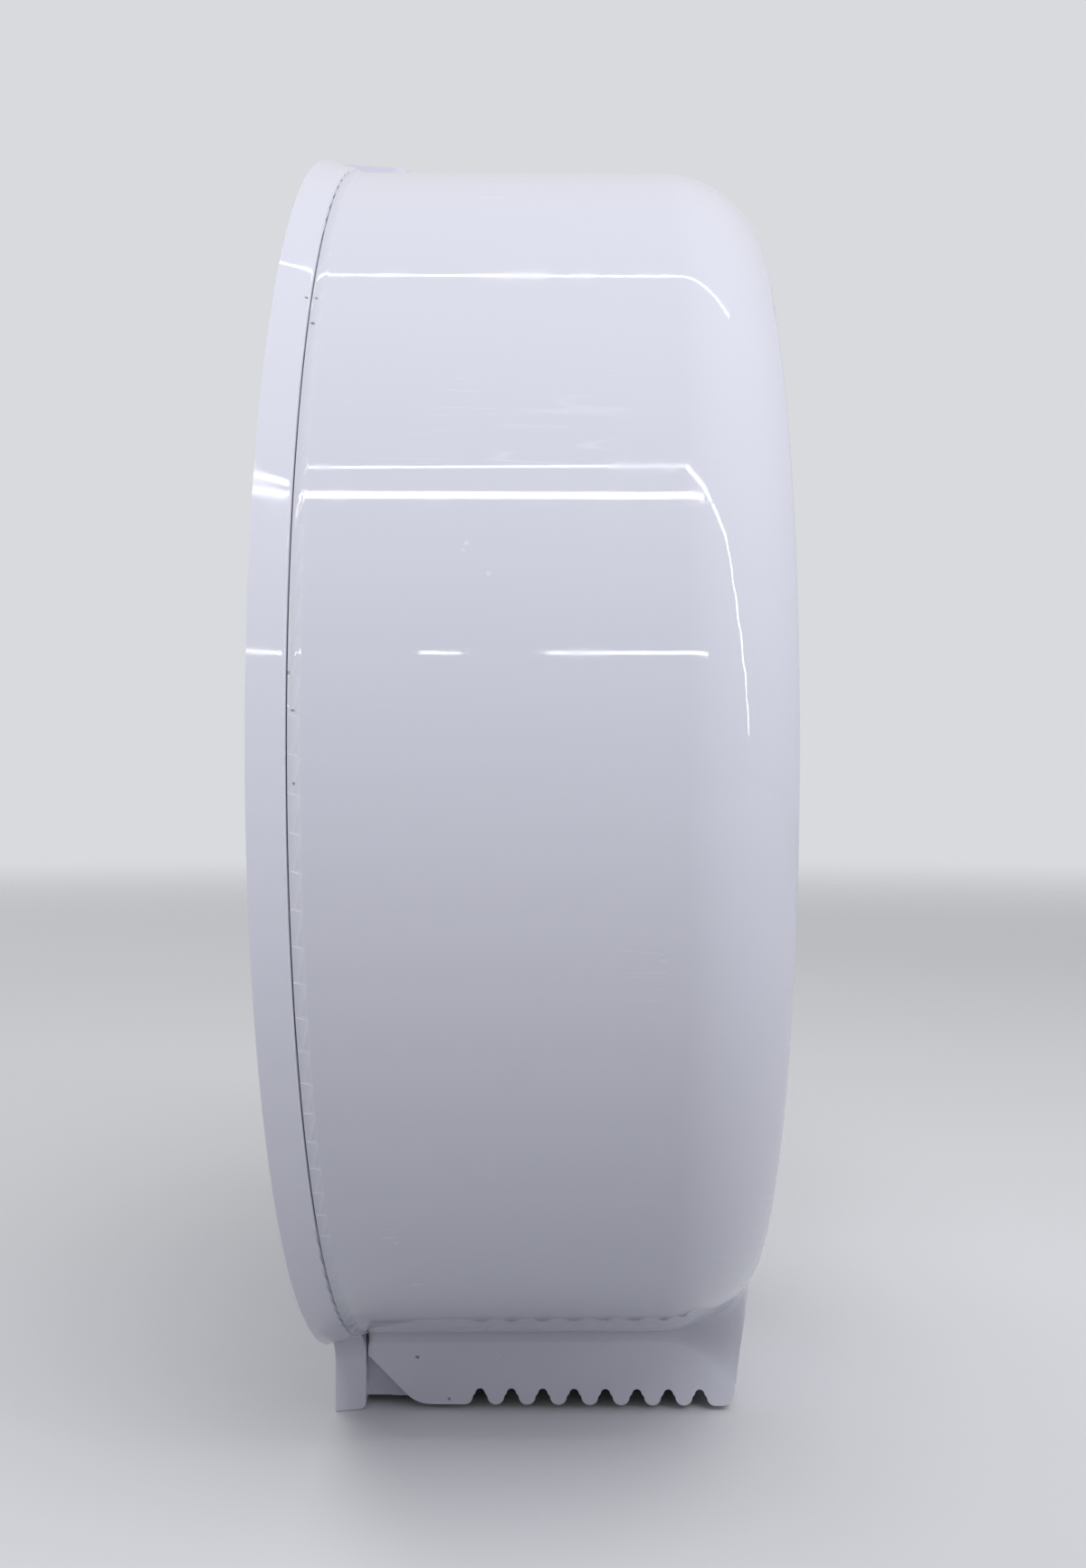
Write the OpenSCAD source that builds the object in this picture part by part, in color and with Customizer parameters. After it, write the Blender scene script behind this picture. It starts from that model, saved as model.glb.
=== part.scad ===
// Jumbo toilet roll dispenser, wall hung: a round drum cover hinged on a shallow back plate.
// Every part is drawn on the wall plane: X to the right, Y up, Z out of the wall,
// and stood up by upright(), so that the front faces -Y and the top faces +Z.

/* [Drum cover] */
// Outer radius of the drum where the front rounding starts
cover_r = 168; // [150:1:185]
// How much wider the drum is at its rear edge (mould draft)
cover_draft = 0.8; // [0.2:0.1:1.5]
// Wall thickness of the cover
cover_wall = 2.6; // [2:0.1:3.2]
// Wall plane to front face
cover_depth = 116; // [112:1:130]
// Radius of the main front rounding
nose_r = 30; // [24:1:36]
// Angle over which the main rounding runs
nose_angle = 54; // [46:1:62]
// Radius where the rounding tightens to the flat face
nose_edge_r = 5; // [4:0.5:8]
// Height of the small flare along the rear edge
lip_h = 0.9; // [0.5:0.1:1.2]
// Length of the small flare along the rear edge
lip_len = 2.6; // [2:0.1:4]

/* [Paper chute] */
// Half width of the chute over its side skirts
chute_half = 38; // [34:1:44]
// Bottom of the skirts below the drum axis
chute_drop = 185.6; // [182:0.2:190]
// How far the chute's front wall leans back at its bottom
chute_lean = 2.8; // [1:0.2:5]
// Radius between the skirts' rear chamfer and their bottom
chamfer_r = 9.6; // [2:0.2:12]
// Radius of the lower front corner of the skirts
skirt_corner_r = 3.5; // [2:0.5:5]
// Number of notches in each tear edge
tooth_count = 8; // [4:1:8]
// Spacing of the notches
tooth_pitch = 8.93; // [7:0.01:9.2]
// Depth of the notches
tooth_h = 4.6; // [3.6:0.1:5.4]
// Radius of the round tooth tips
tooth_tip_r = 2.4; // [1.6:0.1:2.6]
// Radius at the top of each notch
notch_r = 1.35; // [0.8:0.05:1.5]
// Wall plane to the middle of the first notch
tooth_start = 41; // [39:0.5:44]
// Radius between drum and skirt along the drum
blend_r = 6; // [4:0.5:9]
// Radius between face and chute at the front
blend_front_r = 44; // [30:1:55]

/* [Back plate] */
// Depth of the back plate
plate_depth = 8; // [7:0.2:10]
// Wall thickness of the back plate
plate_wall = 2.6; // [2:0.1:3.2]
// How far the plate's front edge stands out past the drum's rear edge
rim_proud = 1.1; // [1:0.1:2]
// How much wider the plate is at the wall than at its front edge
rim_flare = 2.1; // [1:0.1:3]
// Radius of the plate's front edge
rim_edge_r = 0.8; // [0.5:0.1:1.2]
// Thickness of the ribs behind the plate
rib_t = 1.8; // [1.2:0.1:2.4]
// Number of radial ribs behind the plate
rib_count = 12; // [6:2:16]
// Bottom of the lower block below the drum axis
block_drop = 187; // [186:0.2:192]
// Depth of the lower block
block_depth = 8.4; // [8:0.1:8.6]
// Radius of the block's lower front edge
block_corner_r = 1.8; // [1:0.2:3]
// Radius between the round plate and the lower block
block_blend_r = 10; // [7:0.5:14]
// Spacing of the wall screws across
screw_span_x = 180; // [150:1:200]
// Spacing of the wall screws up and down
screw_span_z = 150; // [120:1:170]
// Width of the wall screw slots
screw_slot_w = 5.2; // [4:0.1:6]
// Length of the wall screw slots from end to end
screw_slot_l = 12; // [9:0.5:13]

/* [Top tab and lock] */
// Half width of the tab
tab_half = 34; // [26:1:40]
// Wall plane to the tip of the tab
tab_reach = 20.4; // [20:0.2:24]
// Outer radius of the tab at the wall
tab_r = 173.2; // [172.8:0.1:174.5]
// Wall plane to the lock's axis
lock_out = 12; // [12:0.1:12.4]
// Radius of the lock body
lock_r = 5.5; // [4.5:0.1:5.6]
// Length of the hooked cam from the lock's axis
cam_reach = 12.9; // [12.7:0.1:14]
// Width of the hooked cam
cam_w = 7; // [6:0.2:7.2]

/* [Hinge] */
// Wall plane to the hinge axis
hinge_out = 27; // [27:0.1:28]
// Hinge axis below the drum axis
hinge_drop = 167.5; // [167.2:0.1:168]
// Radius of the hinge pins
hinge_pin_r = 2; // [1.5:0.1:2.5]
// Thickness of the hinge ears
ear_t = 3.2; // [2.6:0.1:4]

/* [Roll spindle] */
// Radius of the hub that carries the paper core
hub_r = 21.5; // [18:0.5:27]
// Radius of the flange behind the paper roll
hub_flange_r = 34; // [30:1:42]
// Length of the hub in front of its flange
hub_len = 72; // [55:1:76]
// Wall thickness of the hub
hub_wall = 2.4; // [1.8:0.1:3]
// Number of webs inside the hub
web_count = 6; // [4:1:8]
// Radius of the spindle post
post_r = 8; // [6:0.5:9]
// Wall thickness of the two bushes
bush_wall = 2; // [1.4:0.1:2.4]

/* [Window] */
// Width of the window slot
window_w = 26; // [18:1:34]
// Length of the window slot
window_l = 92; // [70:1:104]
// Middle of the window above the drum axis
window_up = 84; // [78:1:90]

/* [Clearances] */
// Gap between pieces that move past each other
gap = 0.3; // [0.25:0.05:0.4]
// Radial clearance of a running fit
run_gap = 0.06; // [0.03:0.01:0.1]

/* [Hidden] */
$fn = 96;
eps = 0.01;
white = "#f1f1f6";
steel = "#b9bcc2";

// Cover: places along the depth and radii
lip_out = plate_depth + gap;
drum_rear_r = cover_r + cover_draft;
nose_rise = (nose_r - nose_edge_r) * sin(nose_angle) + nose_edge_r;
nose_start = cover_depth - nose_rise;
nose_c1 = [cover_r - nose_r, nose_start];
nose_c2 = nose_c1 + (nose_r - nose_edge_r) * [cos(nose_angle), sin(nose_angle)];
face_r = nose_c2[0];
face_in = cover_depth - cover_wall;
lip_r = (pow(lip_len, 2) + pow(lip_h, 2)) / (2 * lip_h);

// Chute
chute_in = chute_half - cover_wall;
lean_top = face_r + 4;
skirt_rear = block_depth + 0.7;
hinge_swing = hinge_out - block_depth - 0.2;
chamfer_top = hinge_drop + sqrt(pow(hinge_swing, 2) - pow(hinge_out - skirt_rear, 2));
chamfer_run = chute_drop - chamfer_top;
blend_from = cover_depth - 24;
blend_bite = 1.2;
blend_sink = 0.06;
blend_past = 0.05;

// Back plate
rim_r = drum_rear_r + rim_proud;
plate_r = rim_r + rim_flare;
floor_back = plate_depth - plate_wall;
ring_wall = 1.8;
ring_h = 3.5;
ring_gap = 0.6;
ring_r = drum_rear_r - cover_wall - ring_gap;
ring_sweep = 115;
well_r = 8;
well_wall = 2;
well_floor = 2.6;
rib_ring_in = 30;

// Tab and lock
tab_tip_r = tab_r - 1.5;
tab_under_r = rim_r + 0.2;
tab_under_tip_r = tab_under_r + 0.8;
tab_corner_r = 5;
tab_tip_edge = 0.7;
boss_r = lock_r + 1.6;
lock_fit = 0.1;
lock_hole_r = lock_r + lock_fit;
lock_top = tab_r - 1.9;
lock_head_t = 1;
lock_head_r = lock_r + 1.4;
lock_in = 14;
boss_foot = cover_r - lock_in;
lock_foot = boss_foot - 2.6;
clip_t = 0.8;
clip_groove = 0.7;
rotor_r = lock_r - 1.5;
cam_t = 2;
cam_top = lock_foot - 0.2;
cam_square = 4;
cam_hook_t = 2.2;
cam_hook_h = 5.4;
cam_hub_r = 4.6;
cam_hole = cam_square + 0.1;
cam_screw_r = 1.2;
cam_screw_head_r = 3.4;
cam_screw_head_h = 1.6;
cam_screw_len = 7;
cap_t = 1.6;
cap_r = rotor_r + 0.8;
key_slot_w = 1.2;
key_slot_h = 3.4;
lock_web_t = 6;
keeper_post_r = 1.5;
keeper_post_out = lock_out + cam_reach - cam_hook_t - gap - keeper_post_r;
keeper_foot = cam_top + 0.8;
keeper_base_t = 2;
keeper_boss_h = 6;
keeper_boss_r = 3.4;
keeper_screw_len = 7;
keeper_seat = cover_r - cover_wall - keeper_boss_h;
keeper_len = 15;
keeper_w = 26;
keeper_screw_x = 8;
keeper_screw_out = keeper_post_out - keeper_post_r + 9;
pocket_half = 18;
pocket_low = boss_foot - 16;
pocket_high = boss_foot + 6;
notch_half = boss_r + 0.7;
notch_out = lock_out + boss_r + 0.7;

// Hinge
boss_len = 1.4;
ear_face = chute_in - boss_len - gap;
ear_step = 0.5;
ear_step_out = 15.6;
ear_r = 10;
ear_drop = chute_drop - 0.9;
ear_heel_r = 8;
pin_end = chute_half - 1.4;
hinge_boss_r = hinge_pin_r + 3.5;
hinge_skin = 0.8;

// Spindle
bracket_r = 36;
bracket_t = 4;
bracket_screw_count = 4;
bracket_screw_at = 27;
bracket_screw_len = 7.5;
bracket_boss_r = 4;
pilot_floor = 1.5;
bracket_out = plate_depth + bracket_t;
bracket_head_seat = plate_depth + 1.8;
washer_t = 1;
hub_rear = bracket_out + washer_t + gap;
hub_flange_t = 2.6;
hub_front = hub_rear + hub_flange_t + hub_len;
hub_bore = post_r + bush_wall;
hub_core_r = hub_bore + hub_wall;
bush_len = 10;
post_end = hub_front + gap;
end_washer_t = 1.2;
end_washer_r = hub_bore + 1.5;
hub_screw_r = 2.5;
hub_screw_len = 20;
hub_head_r = 5;
hub_head_h = 3;
cap_wall = 2;
cap_front = post_end + end_washer_t + hub_head_h + 1.2 + cap_wall;
cap_skirt = 5;
screw_head_r = 3.2;
screw_head_h = 2;
screw_clear = 0.2;
web_t = 2;
web_end_gap = 0.4;
flange_relief = 0.8;

// Small screws of the cover, and how far a boss runs into the wall that carries it
small_screw_r = 1.5;
small_head_r = 3;
small_head_h = 1.8;
pilot_end = 0.2;
boss_bite = 0.5;

// Window
window_gap = 0.15;
window_flange = 3.5;
window_flange_t = 1.5;
frame_t = 2;
frame_out = face_in - window_flange_t - frame_t;
window_screw_x = window_w / 2 + window_flange + 4.4;
window_screw_in = 20;
window_screw_up = window_l / 2 - window_screw_in;
window_pad_r = 4;
window_screw_len = 5;

// ---- helpers ----

// Stands a part drawn on the wall plane upright: its Z becomes the way out of the wall
module upright() {
    rotate([90, 0, 0]) children();
}

// A part drawn along its own Z, turned to point up the wall, at height up and distance out
module upward(up, out) {
    translate([0, up, out]) rotate([-90, 0, 0]) children();
}

// A part drawn along its own Z, turned to point along +X, at the place of the hinge
module at_hinge(from_x) {
    translate([from_x, -hinge_drop, hinge_out]) rotate([0, 90, 0]) children();
}

// A profile in distance out (x) and height (y), drawn out along X from -half to +half
module across(half) {
    translate([half, 0, 0]) rotate([0, -90, 0]) linear_extrude(2 * half) children();
}

// Both sides of the part
module both_sides() {
    children();
    mirror([1, 0, 0]) children();
}

module ring(r_out, r_in, from, to) {
    translate([0, 0, from]) difference() {
        cylinder(r = r_out, h = to - from);
        translate([0, 0, -1]) cylinder(r = r_in, h = to - from + 2);
    }
}

// A slot with round ends, upright
module round_slot(w, l) {
    translate([-w / 2, -(l - w) / 2]) square([w, l - w]);
    for (end = [-1, 1]) translate([0, end * (l - w) / 2]) circle(d = w);
}

// A pie slice of a circle between two angles
module slice_2d(c, r, a0, a1) {
    intersection() {
        translate(c) circle(r = r);
        polygon([c, c + 2 * r * [cos(a0), sin(a0)], c + 2 * r * [cos(a1), sin(a1)]]);
    }
}

// ---- cover ----

// Half section of the drum, inset from its outside: two arcs laid over a core that fills the rest.
// The core runs past the arcs' centres, so that no edge is shared.
module drum_2d(inset, from) {
    past = 1.5 * [sin(nose_angle), -cos(nose_angle)];
    polygon([[0, from], [drum_rear_r - inset, from], [cover_r - inset, nose_start], [0, nose_start]]);
    polygon([[0, nose_start - 2], nose_c1 + past - [0, 1], nose_c2 + past, nose_c2,
        [face_r, cover_depth - inset], [0, cover_depth - inset]]);
    slice_2d(nose_c1, nose_r - inset, 0, nose_angle);
    translate(nose_c2) circle(r = nose_edge_r - inset);
}

// The flare along the drum's rear edge
module lip_2d() {
    difference() {
        translate([drum_rear_r - 1, lip_out]) square([1 + lip_h, lip_len]);
        translate([drum_rear_r + lip_r, lip_out + lip_len]) circle(r = lip_r);
    }
}

// One notch of the tear edge, drawn in distance out and height, its middle at x = 0
module notch_2d() {
    top = tooth_h - notch_r;
    side = tooth_pitch / 2 - tooth_tip_r;
    translate([0, top]) circle(r = notch_r);
    polygon([[-notch_r, top], [notch_r, top], [side, tooth_tip_r], [-side, tooth_tip_r]]);
    difference() {
        translate([-tooth_pitch / 2, -1]) square([tooth_pitch, tooth_tip_r + 1]);
        for (s = [-1, 1]) translate([s * tooth_pitch / 2, tooth_tip_r]) circle(r = tooth_tip_r);
    }
}

// Front line of the chute: straight down from the face, then leaning back
function front_line(inset) = [
    [cover_depth - inset, -face_r + 20],
    [cover_depth - inset, -lean_top],
    [cover_depth - inset - chute_lean, -chute_drop]];

// Side outline of the chute: chamfered behind to swing past the block, serrated below
module skirt_2d() {
    front = front_line(0);
    chamfer_end = skirt_rear + chamfer_run;
    heel = [chamfer_end + chamfer_r * tan(22.5), -chute_drop + chamfer_r];
    corner = [front[2][0] - skirt_corner_r, -chute_drop + skirt_corner_r];
    difference() {
        union() {
            polygon([[skirt_rear, front[0][1]], [skirt_rear, -chamfer_top],
                heel - chamfer_r * [cos(45), sin(45)], heel, [heel[0], -chute_drop],
                [corner[0], -chute_drop], corner,
                front[2] + [0, skirt_corner_r], front[1], front[0]]);
            translate(heel) circle(r = chamfer_r);
            translate(corner) circle(r = skirt_corner_r);
        }
        for (i = [0 : tooth_count - 1])
            translate([tooth_start + i * tooth_pitch, -chute_drop]) notch_2d();
    }
}

// Radius of the drum's outside at a distance out, inset from it
function drum_r(out, inset) =
    out <= nose_start ? cover_r - inset
        + cover_draft * (nose_start - out) / (nose_start - lip_out)
    : out <= nose_start + (nose_r - inset) * sin(nose_angle)
        ? nose_c1[0] + sqrt(max(0, pow(nose_r - inset, 2) - pow(out - nose_start, 2)))
    : nose_c2[0] + sqrt(max(0, pow(nose_edge_r - inset, 2) - pow(out - nose_c2[1], 2)));

// Radius of the blend between drum and skirt at a distance out
function blend_at(out, inset) = inset + blend_r
    + (blend_front_r - blend_r) * pow(max(0, out - blend_from) / (cover_depth - blend_from), 2);

// Section of the blend at one distance out: the hollow arc, then three points inside the walls.
// The arc's ends lie a little inside the drum and the skirt, so that the surfaces cross cleanly.
function blend_section(out, inset, steps) =
    let (r = drum_r(out, inset), q = blend_at(out, inset), x = chute_half - inset, t = q - blend_sink,
        lean = asin((x + t) / (r + t)),
        c = (r + t) * [sin(lean), -cos(lean)])
    concat(
        [for (i = [0 : steps]) let (a = 180 - (90 - lean) * i / steps)
            [c[0] + q * cos(a), c[1] + q * sin(a), out]],
        [[(r - blend_bite) * sin(lean), -(r - blend_bite) * cos(lean), out],
         [x - blend_bite, blend_bite - sqrt(pow(r, 2) - pow(x, 2)), out],
         [x - blend_bite, c[1], out]]);

// The blend between drum and skirt on the right-hand side, cut off along the chute's front
module blend(inset) {
    steps = 8;
    first = lip_out + 1 + inset;
    last = cover_depth - inset;
    outs = concat(
        [for (i = [0 : 3]) first + (blend_from - first) * i / 3],
        [for (i = [1 : 12]) blend_from + (last + blend_past - blend_from) * sin(90 * i / 12)],
        [last + 1]);
    points = [for (out = outs) each blend_section(out, inset, steps)];
    n = steps + 4;
    m = len(outs);
    sides = [for (j = [0 : m - 2], i = [0 : n - 1]) let (k = (i + 1) % n)
        each [[j * n + i, (j + 1) * n + i, j * n + k], [j * n + k, (j + 1) * n + i, (j + 1) * n + k]]];
    bottom = [[for (i = [0 : n - 1]) i]];
    top = [[for (i = [n - 1 : -1 : 0]) (m - 1) * n + i]];
    front = front_line(inset);
    intersection() {
        polyhedron(points, concat(sides, bottom, top));
        across(cover_r) polygon([[-1, front[0][1]], [-1, -chute_drop], front[2], front[1], front[0]]);
    }
}

module at_keeper_screws(up) {
    for (s = [-1, 1]) upward(up, keeper_screw_out) translate([s * keeper_screw_x, 0, 0]) children();
}

module at_window_screws(out) {
    for (sx = [-1, 1], sy = [-1, 1])
        translate([sx * window_screw_x, window_up + sy * window_screw_up, out]) children();
}

module cover_outside() {
    rotate_extrude() {
        drum_2d(0, lip_out);
        lip_2d();
    }
    across(chute_half) skirt_2d();
    both_sides() blend(0);
}

module cover_inside() {
    rotate_extrude() drum_2d(cover_wall, -1);
    both_sides() blend(cover_wall);
    front = front_line(cover_wall);
    across(chute_in) polygon([[-1, front[0][1]], [-1, -chute_drop - 5],
        [front[2][0], -chute_drop - 5], front[2], front[1], front[0]]);
}

module front_cover() {
    color(white) upright() difference() {
        union() {
            difference() {
                cover_outside();
                cover_inside();
            }
            both_sides() at_hinge(ear_face + gap)
                cylinder(r = hinge_boss_r, h = chute_half - hinge_skin - ear_face - gap);
            at_keeper_screws(keeper_seat) cylinder(r = keeper_boss_r, h = keeper_boss_h + cover_wall / 2);
            at_window_screws(face_in - window_flange_t)
                cylinder(r = window_pad_r, h = window_flange_t + boss_bite);
        }
        both_sides() at_hinge(ear_face) cylinder(r = hinge_pin_r + run_gap, h = pin_end - ear_face + gap);
        translate([-notch_half, boss_foot, 0]) cube([2 * notch_half, tab_r - boss_foot, notch_out]);
        translate([0, window_up, face_in - 1]) linear_extrude(cover_wall + 2) round_slot(window_w, window_l);
        at_keeper_screws(keeper_seat - 1) cylinder(r = small_screw_r, h = keeper_boss_h + 1);
        at_window_screws(frame_out) cylinder(r = small_screw_r, h = window_screw_len + pilot_end);
    }
}

// ---- back plate ----

// Half section of the plate's outside
module plate_2d() {
    polygon([[0, 0], [plate_r, 0], [rim_r, plate_depth - rim_edge_r],
        [rim_r - rim_edge_r, plate_depth], [0, plate_depth]]);
    translate([rim_r - rim_edge_r, plate_depth - rim_edge_r]) circle(r = rim_edge_r);
}

// The lower block, inset from its outside, widening towards the wall like the plate.
// The inset one hollows it out from behind, so it starts behind the wall.
module block(inset) {
    half = chute_half - inset;
    depth = block_depth - inset;
    low = -block_drop + inset;
    corner = inset > 0 ? 0.5 : block_corner_r;
    rear = inset > 0 ? -1 : 0;
    intersection() {
        rotate([90, 0, 0]) linear_extrude(block_drop + 10)
            polygon([[-half - rim_flare, rear], [half + rim_flare, rear], [half, depth], [-half, depth]]);
        across(chute_half + rim_flare + 1) {
            polygon([[rear, low], [depth - corner, low], [depth, low + corner],
                [depth, -hinge_drop + 20], [rear, -hinge_drop + 20]]);
            translate([depth - corner, low + corner]) circle(r = corner);
        }
    }
}

// Hollow corner between the round plate and the block on the right-hand side
module block_corner() {
    lean = asin((chute_half + block_blend_r) / (rim_r + block_blend_r));
    c = (rim_r + block_blend_r) * [sin(lean), -cos(lean)];
    difference() {
        linear_extrude(plate_depth) polygon([[chute_half - 2, c[1]], c,
            rim_r * [sin(lean), -cos(lean)], (rim_r - 6) * [sin(lean), -cos(lean)],
            [chute_half - 2, -rim_r + 6]]);
        translate([c[0], c[1], 0])
            cylinder(r1 = block_blend_r - rim_flare, r2 = block_blend_r, h = plate_depth + eps);
    }
}

// Places of the four wall screws
module at_wall_screws() {
    for (sx = [-1, 1], sy = [-1, 1]) translate([sx * screw_span_x / 2, sy * screw_span_z / 2, 0]) children();
}

module at_bracket_screws() {
    for (i = [0 : bracket_screw_count - 1]) rotate(45 + i * 360 / bracket_screw_count)
        translate([bracket_screw_at, 0, 0]) children();
}

// Ribs behind the plate, from the wall to the plate's floor
module plate_ribs() {
    linear_extrude(floor_back + eps) {
        for (i = [0 : rib_count - 1]) rotate((i + 0.5) * 360 / rib_count)
            translate([bracket_r, -rib_t / 2]) square([rim_r - 1 - bracket_r, rib_t]);
        for (r = [bracket_r, (bracket_r + rim_r) / 2, rim_r - rib_ring_in]) difference() {
            circle(r = r + rib_t / 2);
            circle(r = r - rib_t / 2);
        }
    }
}

// Ring on the plate that keeps the cover's rear edge round, left open over the chute
module locating_ring() {
    translate([0, 0, plate_depth - 1]) difference() {
        cylinder(r = ring_r, h = ring_h + 1);
        translate([0, 0, -1]) cylinder(r = ring_r - ring_wall, h = ring_h + 3);
        translate([0, 0, -1]) linear_extrude(ring_h + 3) polygon([[0, 0],
            2 * ring_r * [sin(ring_sweep), cos(ring_sweep)], [0, -3 * ring_r],
            2 * ring_r * [-sin(ring_sweep), cos(ring_sweep)]]);
        translate([-pocket_half, ring_r - 10, -1]) cube([2 * pocket_half, 20, ring_h + 3]);
    }
}

// Tab that runs over the top of the cover
module tab() {
    intersection() {
        rotate_extrude() {
            polygon([[rim_r - 4, 0], [tab_r, 0], [tab_tip_r, tab_reach - tab_tip_edge],
                [tab_tip_r - tab_tip_edge, tab_reach], [tab_under_tip_r, tab_reach],
                [tab_under_r, plate_depth], [rim_r - 4, plate_depth]]);
            translate([tab_tip_r - tab_tip_edge, tab_reach - tab_tip_edge]) circle(r = tab_tip_edge);
        }
        rotate([90, 0, 0]) translate([0, 0, -tab_r - 1]) linear_extrude(tab_r) {
            translate([-tab_half, -1]) square([2 * tab_half, tab_reach + 1 - tab_corner_r]);
            translate([tab_corner_r - tab_half, 0]) square([2 * (tab_half - tab_corner_r), tab_reach + 1]);
            for (s = [-1, 1]) translate([s * (tab_half - tab_corner_r), tab_reach - tab_corner_r])
                circle(r = tab_corner_r);
        }
    }
}

// Side outline of a hinge ear
module ear_2d() {
    low = -ear_drop + ear_heel_r;
    polygon([[plate_depth - 1, -hinge_drop + 18], [hinge_out, -hinge_drop + ear_r],
        [hinge_out + ear_r, -hinge_drop], [hinge_out + ear_r, low],
        [hinge_out + ear_r - ear_heel_r, -ear_drop], [plate_depth - 1, -ear_drop]]);
    translate([hinge_out, -hinge_drop]) circle(r = ear_r);
    translate([hinge_out + ear_r - ear_heel_r, low]) circle(r = ear_heel_r);
}

// Hinge ear on the right-hand side, a little thinner near the block
module ear() {
    difference() {
        translate([ear_face, 0, 0]) rotate([0, -90, 0]) linear_extrude(ear_t) ear_2d();
        translate([ear_face - ear_step, -ear_drop - 1, 0]) cube([ear_t, ear_drop, ear_step_out]);
    }
}

module back_plate() {
    color(white) upright() difference() {
        union() {
            difference() {
                union() {
                    rotate_extrude() plate_2d();
                    block(0);
                    both_sides() block_corner();
                }
                rotate_extrude() polygon([[0, -1], [plate_r - plate_wall, -1],
                    [plate_r - plate_wall, 0], [rim_r - plate_wall, floor_back], [0, floor_back]]);
                block(plate_wall);
            }
            plate_ribs();
            at_wall_screws() cylinder(r = well_r + well_wall, h = plate_depth);
            at_bracket_screws() cylinder(r = bracket_boss_r, h = plate_depth);
            translate([-pocket_half - well_wall, pocket_low - well_wall, 0])
                cube([2 * (pocket_half + well_wall), pocket_high - pocket_low + 2 * well_wall, plate_depth]);
            locating_ring();
            tab();
            both_sides() ear();
        }
        at_wall_screws() {
            translate([0, 0, well_floor]) cylinder(r = well_r, h = plate_depth);
            translate([0, 0, -1]) linear_extrude(plate_depth)
                rotate(90) round_slot(screw_slot_w, screw_slot_l);
        }
        at_bracket_screws() cylinder_from(small_screw_r, pilot_floor, plate_depth + 1);
        translate([-pocket_half, pocket_low, well_floor])
            cube([2 * pocket_half, pocket_high - pocket_low, plate_depth]);
        both_sides() at_hinge(ear_face - ear_t - 1) cylinder(r = hinge_pin_r, h = ear_t + 2);
        lock_bore();
    }
    color(white) upright() lock_boss();
}

// Tube below the tab that holds the lock, and its web to the plate
module lock_boss() {
    difference() {
        union() {
            upward(boss_foot, lock_out) cylinder(r = boss_r, h = lock_top - lock_head_t - boss_foot);
            translate([-lock_web_t / 2, boss_foot, 1])
                cube([lock_web_t, tab_under_r - 1 - boss_foot, lock_out]);
        }
        lock_bore();
    }
}

module lock_bore() {
    upward(boss_foot - 1, lock_out) cylinder(r = lock_hole_r, h = tab_r - boss_foot + 2);
    upward(lock_top - lock_head_t, lock_out)
        cylinder(r = lock_head_r + lock_fit, h = tab_r - lock_top + lock_head_t + 1);
}

// ---- hinge pins ----

module hinge_pin() {
    at_hinge(ear_face - ear_t) cylinder(r = hinge_pin_r, h = pin_end - ear_face + ear_t);
}

module hinge_pin_right() {
    color(steel) upright() hinge_pin();
}

module hinge_pin_left() {
    color(steel) upright() mirror([1, 0, 0]) hinge_pin();
}

// ---- roll spindle ----

module spindle_bracket() {
    color("#e8e8ec") upright() difference() {
        union() {
            translate([0, 0, plate_depth]) cylinder(r = bracket_r, h = bracket_t);
            cylinder_from(post_r, bracket_out, post_end);
        }
        cylinder_from(hub_screw_r, post_end - hub_screw_len, post_end + 1);
        at_bracket_screws() {
            cylinder_from(small_screw_r + screw_clear, plate_depth - 1, bracket_out + 1);
            cylinder_from(screw_head_r + screw_clear, bracket_head_seat, bracket_out + 1);
        }
    }
}

module cylinder_from(r, from, to) {
    translate([0, 0, from]) cylinder(r = r, h = to - from);
}

// Pan head screw drawn along Z: head from 0 down, shank upwards, with a cross recess
module pan_screw(head_r, head_h, shank_r, shank_len) {
    difference() {
        union() {
            intersection() {
                translate([0, 0, -head_h]) cylinder(r = head_r, h = head_h);
                translate([0, 0, -head_h + head_r * 1.25]) sphere(r = head_r * 1.25);
            }
            cylinder(r = shank_r, h = shank_len);
        }
        for (a = [0, 90]) rotate(a) translate([-head_r * 0.55, -head_r * 0.11, -head_h - 1])
            cube([head_r * 1.1, head_r * 0.22, 1 + head_h * 0.55]);
    }
}

// The same screw driven towards the wall
module screw_in(head_r, head_h, shank_r, shank_len) {
    mirror([0, 0, 1]) pan_screw(head_r, head_h, shank_r, shank_len);
}

module bracket_screws() {
    color(steel) upright() at_bracket_screws() translate([0, 0, bracket_head_seat])
        screw_in(screw_head_r, screw_head_h, small_screw_r, bracket_screw_len);
}

module thrust_washer() {
    color("#3b3d42") upright() ring(post_r * 2, post_r + run_gap, bracket_out, bracket_out + washer_t);
}

module bush(from) {
    color("#d9d4c4") upright() ring(hub_bore, post_r + run_gap, from, from + bush_len);
}

module rear_bush() {
    bush(hub_rear);
}

module front_bush() {
    bush(hub_front - bush_len);
}

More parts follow.
